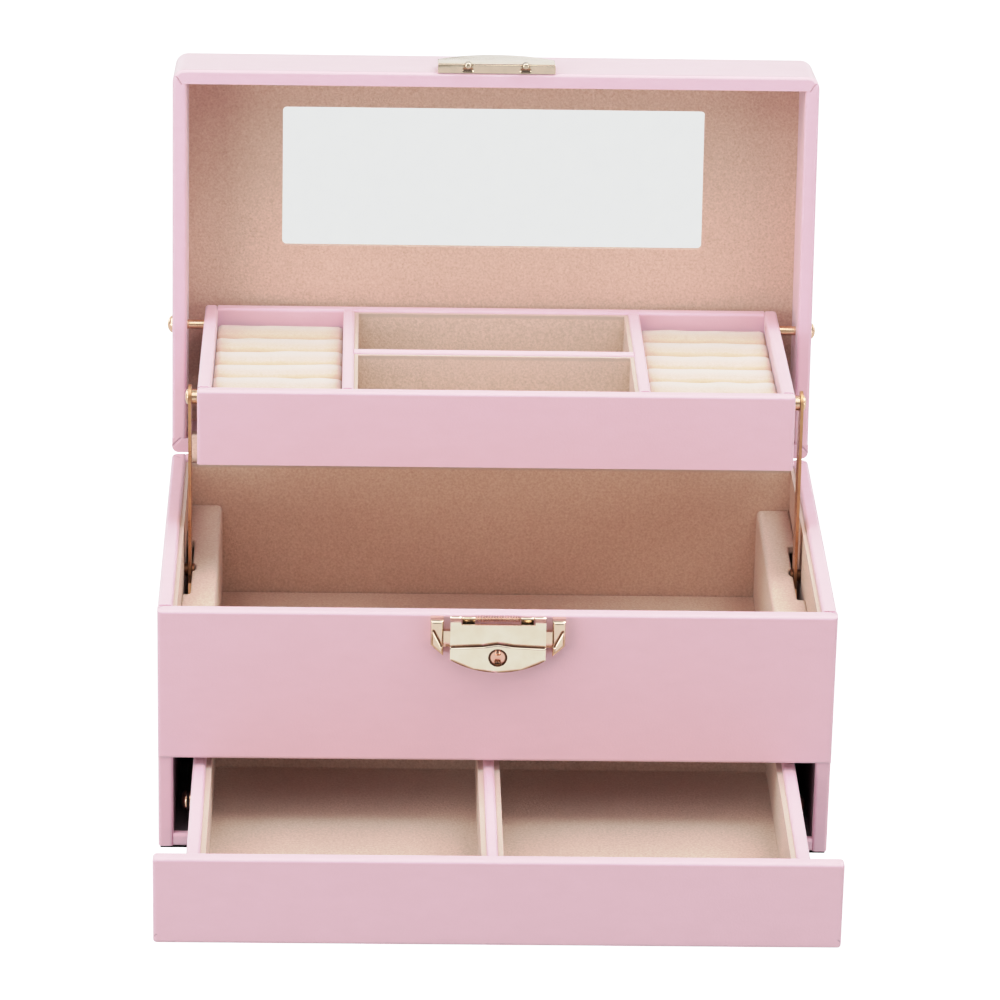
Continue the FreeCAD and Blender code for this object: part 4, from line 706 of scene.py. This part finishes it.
def plated(name, dark, light, rough, lines=(), axis=None, lean=None):
    """Plating between two tones, darkened with painted shade along grooves and in a ring round an axis, given
    as lines; lean is a height range and how far the metal swells out from its top to its bottom."""
    material = bpy.data.materials.new(name)
    material.use_nodes = True
    shader = material.node_tree.nodes["Principled BSDF"]
    links = material.node_tree.links
    finish = put_group(material, plating)
    colour = two_tones(material, spread(material, finish.outputs["Waves"], 0, 1), dark, light)
    normal = raised(material, finish.outputs["Waves"], 0.0001)
    if lines:
        line = folded_lines(material, lines)
        groove_shade = two_tones(material, line, dark, PAINTED_CREASE_SHADE)
        links.new(colour, groove_shade.node.inputs["A"])
        colour = groove_shade
        sunk = raised(material, line, 0.0004, normal)
        sunk.node.invert = True
        normal = sunk
    if lean:
        lean_place = material.node_tree.nodes.new("ShaderNodeTexCoord")
        lean_parts = material.node_tree.nodes.new("ShaderNodeSeparateXYZ")
        links.new(lean_place.outputs["Object"], lean_parts.inputs["Vector"])
        swell = material.node_tree.nodes.new("ShaderNodeMapRange")
        links.new(lean_parts.outputs["Z"], swell.inputs["Value"])
        swell.inputs["From Min"].default_value = lean[1]
        swell.inputs["From Max"].default_value = lean[0]
        normal = raised(material, swell.outputs["Result"], lean[2], normal)
    if axis:
        middle = folded_lines(material, [axis])
        ring = material.node_tree.nodes.new("ShaderNodeMapRange")
        links.new(middle, ring.inputs["Value"])
        ring.inputs["From Min"].default_value = 0.12
        ring.inputs["From Max"].default_value = 0.25
        ring.inputs["To Min"].default_value = 1
        ring.inputs["To Max"].default_value = 0
        ring_shade = two_tones(material, ring.outputs["Result"], dark, PAINTED_CREASE_SHADE)
        links.new(colour, ring_shade.node.inputs["A"])
        colour = ring_shade
    links.new(colour, shader.inputs["Base Color"])
    shader.inputs["Metallic"].default_value = 1
    links.new(spread(material, finish.outputs["Smudges"], rough * 0.7, rough * 1.4),
              shader.inputs["Roughness"])
    links.new(normal, shader.inputs["Normal"])
    return material


rose_gold = plated("rose_gold", tint(214, 176, 146), tint(232, 198, 168), 0.2)
rocker_gold = plated("rocker_gold", tint(176, 130, 96), tint(206, 160, 122), 0.34)
# The rocker pivot pins get a dark brown copy of the gold, as painted shade for the slot they sit in.
shaded_pivot_pin = plated("shaded_pivot_pin", tint(96, 66, 48), tint(128, 92, 68), 0.4)
black_steel = plated("black_steel", tint(34, 26, 28), tint(48, 38, 38), 0.5)
dress(rose_gold, "cabinet_hinge_leaves", "hinge_pins", "cabinet_hinge_screws", "lid_hinge_leaves",
      "lid_hinge_screws", "tray_pivot_pins", "rocker_studs", "drawer_plate_studs", "handle_end_caps")
dress(rocker_gold, "left_rocker", "right_rocker")
dress(shaded_pivot_pin, "rocker_pivot_pins")
dress(black_steel, "drawer_plates")
spring_wire = plated("spring_wire", tint(180, 134, 122), tint(214, 172, 160), 0.3)
dress(spring_wire, "latch_spring")


def eased(name, source, body, material, width):
    """A copy of a metal part with its sharp edges broken, as polishing leaves them."""
    bpy.ops.object.select_all(action="DESELECT")
    made = bpy.data.objects.new(name, node[source].data.copy())
    bpy.context.collection.objects.link(made)
    made.select_set(True)
    bpy.context.view_layer.objects.active = made
    bpy.ops.object.mode_set(mode="EDIT")
    bpy.ops.mesh.select_all(action="SELECT")
    bpy.ops.mesh.remove_doubles(threshold=0.000004)
    bpy.ops.mesh.dissolve_limited(angle_limit=math.radians(1))
    bpy.ops.object.mode_set(mode="OBJECT")
    edges = made.modifiers.new("edges", "BEVEL")
    edges.width = width
    edges.segments = 3
    edges.limit_method = "ANGLE"
    edges.angle_limit = math.radians(28)
    edges.miter_outer = "MITER_ARC"
    edges.harden_normals = False
    bpy.ops.object.modifier_apply(modifier="edges")
    made.data.materials.clear()
    made.data.materials.append(material)
    bpy.ops.object.shade_smooth_by_angle(angle=math.radians(35))
    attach(made, body)
    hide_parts(source)
    return made


# Lock
# A cast base with two wings and a hinged flap, both polished and pale gold. The flap is bent across
# its middle; dark brown is painted in the bend, round the plug and where the wings are cut in, as shade and
# dark reflection.
flap_gold = plated("flap_gold", tint(234, 220, 200), tint(244, 232, 213), 0.1, [
    ((0, -0.0743, 0.0797), (0.0052, -0.0743, 0.0789), 0.0009),
    ((0.0052, -0.0743, 0.0789), (0.0152, -0.0743, 0.0784), 0.0009),
    ((0, -0.0741, 0.0688), (0.0080, -0.0741, 0.0698), 0.0009),
    ((0.0080, -0.0741, 0.0698), (0.0152, -0.0741, 0.0731), 0.0009)], lean=(0.0640, 0.0784, 0.0020))
base_gold = plated("base_gold", tint(222, 200, 176), tint(234, 214, 192), 0.12, [
    ((0.0213, -0.0731, 0.0836), (0.0186, -0.0731, 0.0782), 0.0007)])
plug_rose = plated("plug_rose", tint(226, 178, 158), tint(238, 196, 176), 0.16,
                   [((0, -0.090, 0.0766), (0, -0.060, 0.0766), 0.0014),
                    ((0, -0.090, 0.0728), (0, -0.060, 0.0728), 0.0014)],
                   axis=((0, -0.090, 0.0747), (0, -0.060, 0.0747), 0.0033))
eased("polished_flap", "lock_flap", "flap", flap_gold, 0.00022)
eased("polished_lock_base", "lock_base", "cabinet", base_gold, 0.00025)
eased("polished_key_plug", "key_plug", "plug", plug_rose, 0.0002)
dress(rose_gold, "latch_pin")

# Hasp
# A pressed plate screwed to the lid's front, with two hooks that enter the lock.
# The dark lines across the plate, down each hook and under it are painted shade.
hasp_gold = plated("hasp_gold", tint(206, 188, 166), tint(218, 200, 178), 0.14, [
    (lid_spot(0, -0.0032, 0.0885), lid_spot(0.0200, -0.0032, 0.0885), 0.0003),
    ((0.0100, 0.0872, 0.2268), (0.0100, 0.0862, 0.2268), 0.0023),
    ((0.0088, 0.0868, 0.2251), (0.0112, 0.0868, 0.2251), 0.0012)])
eased("polished_hasp", "hasp", "lid", hasp_gold, 0.0002)

# Mirror
# A silvered glass plate behind the window of the lid's velvet panel.
mirror_silver = bpy.data.materials.new("mirror_silver")
mirror_silver.use_nodes = True
mirror_shader = mirror_silver.node_tree.nodes["Principled BSDF"]
mirror_shader.inputs["Metallic"].default_value = 1
silver_smudges = put_group(mirror_silver, plating)
mirror_silver.node_tree.links.new(
    two_tones(mirror_silver, silver_smudges.outputs["Waves"], tint(247, 249, 249), tint(251, 253, 252)),
    mirror_shader.inputs["Base Color"])
mirror_silver.node_tree.links.new(spread(mirror_silver, silver_smudges.outputs["Smudges"], 0.01, 0.03),
                                  mirror_shader.inputs["Roughness"])
dress(mirror_silver, "mirror")

# Dark paper
# Black paper glued to the drawer bay's walls and floor, and black felt under the box.


def dark_sheet(name, dark, light, rough):
    material = bpy.data.materials.new(name)
    material.use_nodes = True
    shader = material.node_tree.nodes["Principled BSDF"]
    fibres = put_group(material, leaning_pile)
    links = material.node_tree.links
    links.new(two_tones(material, fibres.outputs["Lean"], dark, light), shader.inputs["Base Color"])
    links.new(raised(material, fibres.outputs["Tips"], 0.00006), shader.inputs["Normal"])
    shader.inputs["Roughness"].default_value = rough
    shader.inputs["Specular IOR Level"].default_value = 0.2
    return material


# The bay's paper gets a grey-plum tone well above its own black, as painted light where little light reaches.
black_paper = dark_sheet("black_paper", tint(84, 66, 72), tint(98, 80, 86), 0.85)
black_felt = dark_sheet("black_felt", tint(22, 18, 20), tint(40, 34, 36), 0.95)
dress(black_paper, "bay_liners")
dress(black_felt, "base_felt")

# Bottom board
# Pink sheet underneath and on its front edge; the bay's floor on top of it is covered in black paper.
bottom_leatherette = leatherette("bottom_leatherette")
paper_place = bottom_leatherette.node_tree.nodes.new("ShaderNodeTexCoord")
paper_parts = bottom_leatherette.node_tree.nodes.new("ShaderNodeSeparateXYZ")
bottom_leatherette.node_tree.links.new(paper_place.outputs["Object"], paper_parts.inputs["Vector"])
paper_ends = []
for axis, edge, way in (("Y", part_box("bottom_panel")[0][1] + 0.0024, 1),
                        ("Z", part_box("bottom_panel")[1][2] - 0.0008, 1)):
    inside = bottom_leatherette.node_tree.nodes.new("ShaderNodeMapRange")
    inside.inputs["From Min"].default_value = edge
    inside.inputs["From Max"].default_value = edge + 0.0003
    bottom_leatherette.node_tree.links.new(paper_parts.outputs[axis], inside.inputs["Value"])
    paper_ends.append(inside.outputs["Result"])
paper_mask = bottom_leatherette.node_tree.nodes.new("ShaderNodeMath")
paper_mask.operation = "MULTIPLY"
bottom_leatherette.node_tree.links.new(paper_ends[0], paper_mask.inputs[0])
bottom_leatherette.node_tree.links.new(paper_ends[1], paper_mask.inputs[1])
bottom_shader = bottom_leatherette.node_tree.nodes["Principled BSDF"]
bottom_pink = bottom_shader.inputs["Base Color"].links[0].from_socket
papered = two_tones(bottom_leatherette, paper_mask.outputs["Value"], PINK_DARK, tint(40, 28, 34))
bottom_leatherette.node_tree.links.new(bottom_pink, papered.node.inputs["A"])
bottom_leatherette.node_tree.links.new(papered, bottom_shader.inputs["Base Color"])
dress(bottom_leatherette, "bottom_panel")
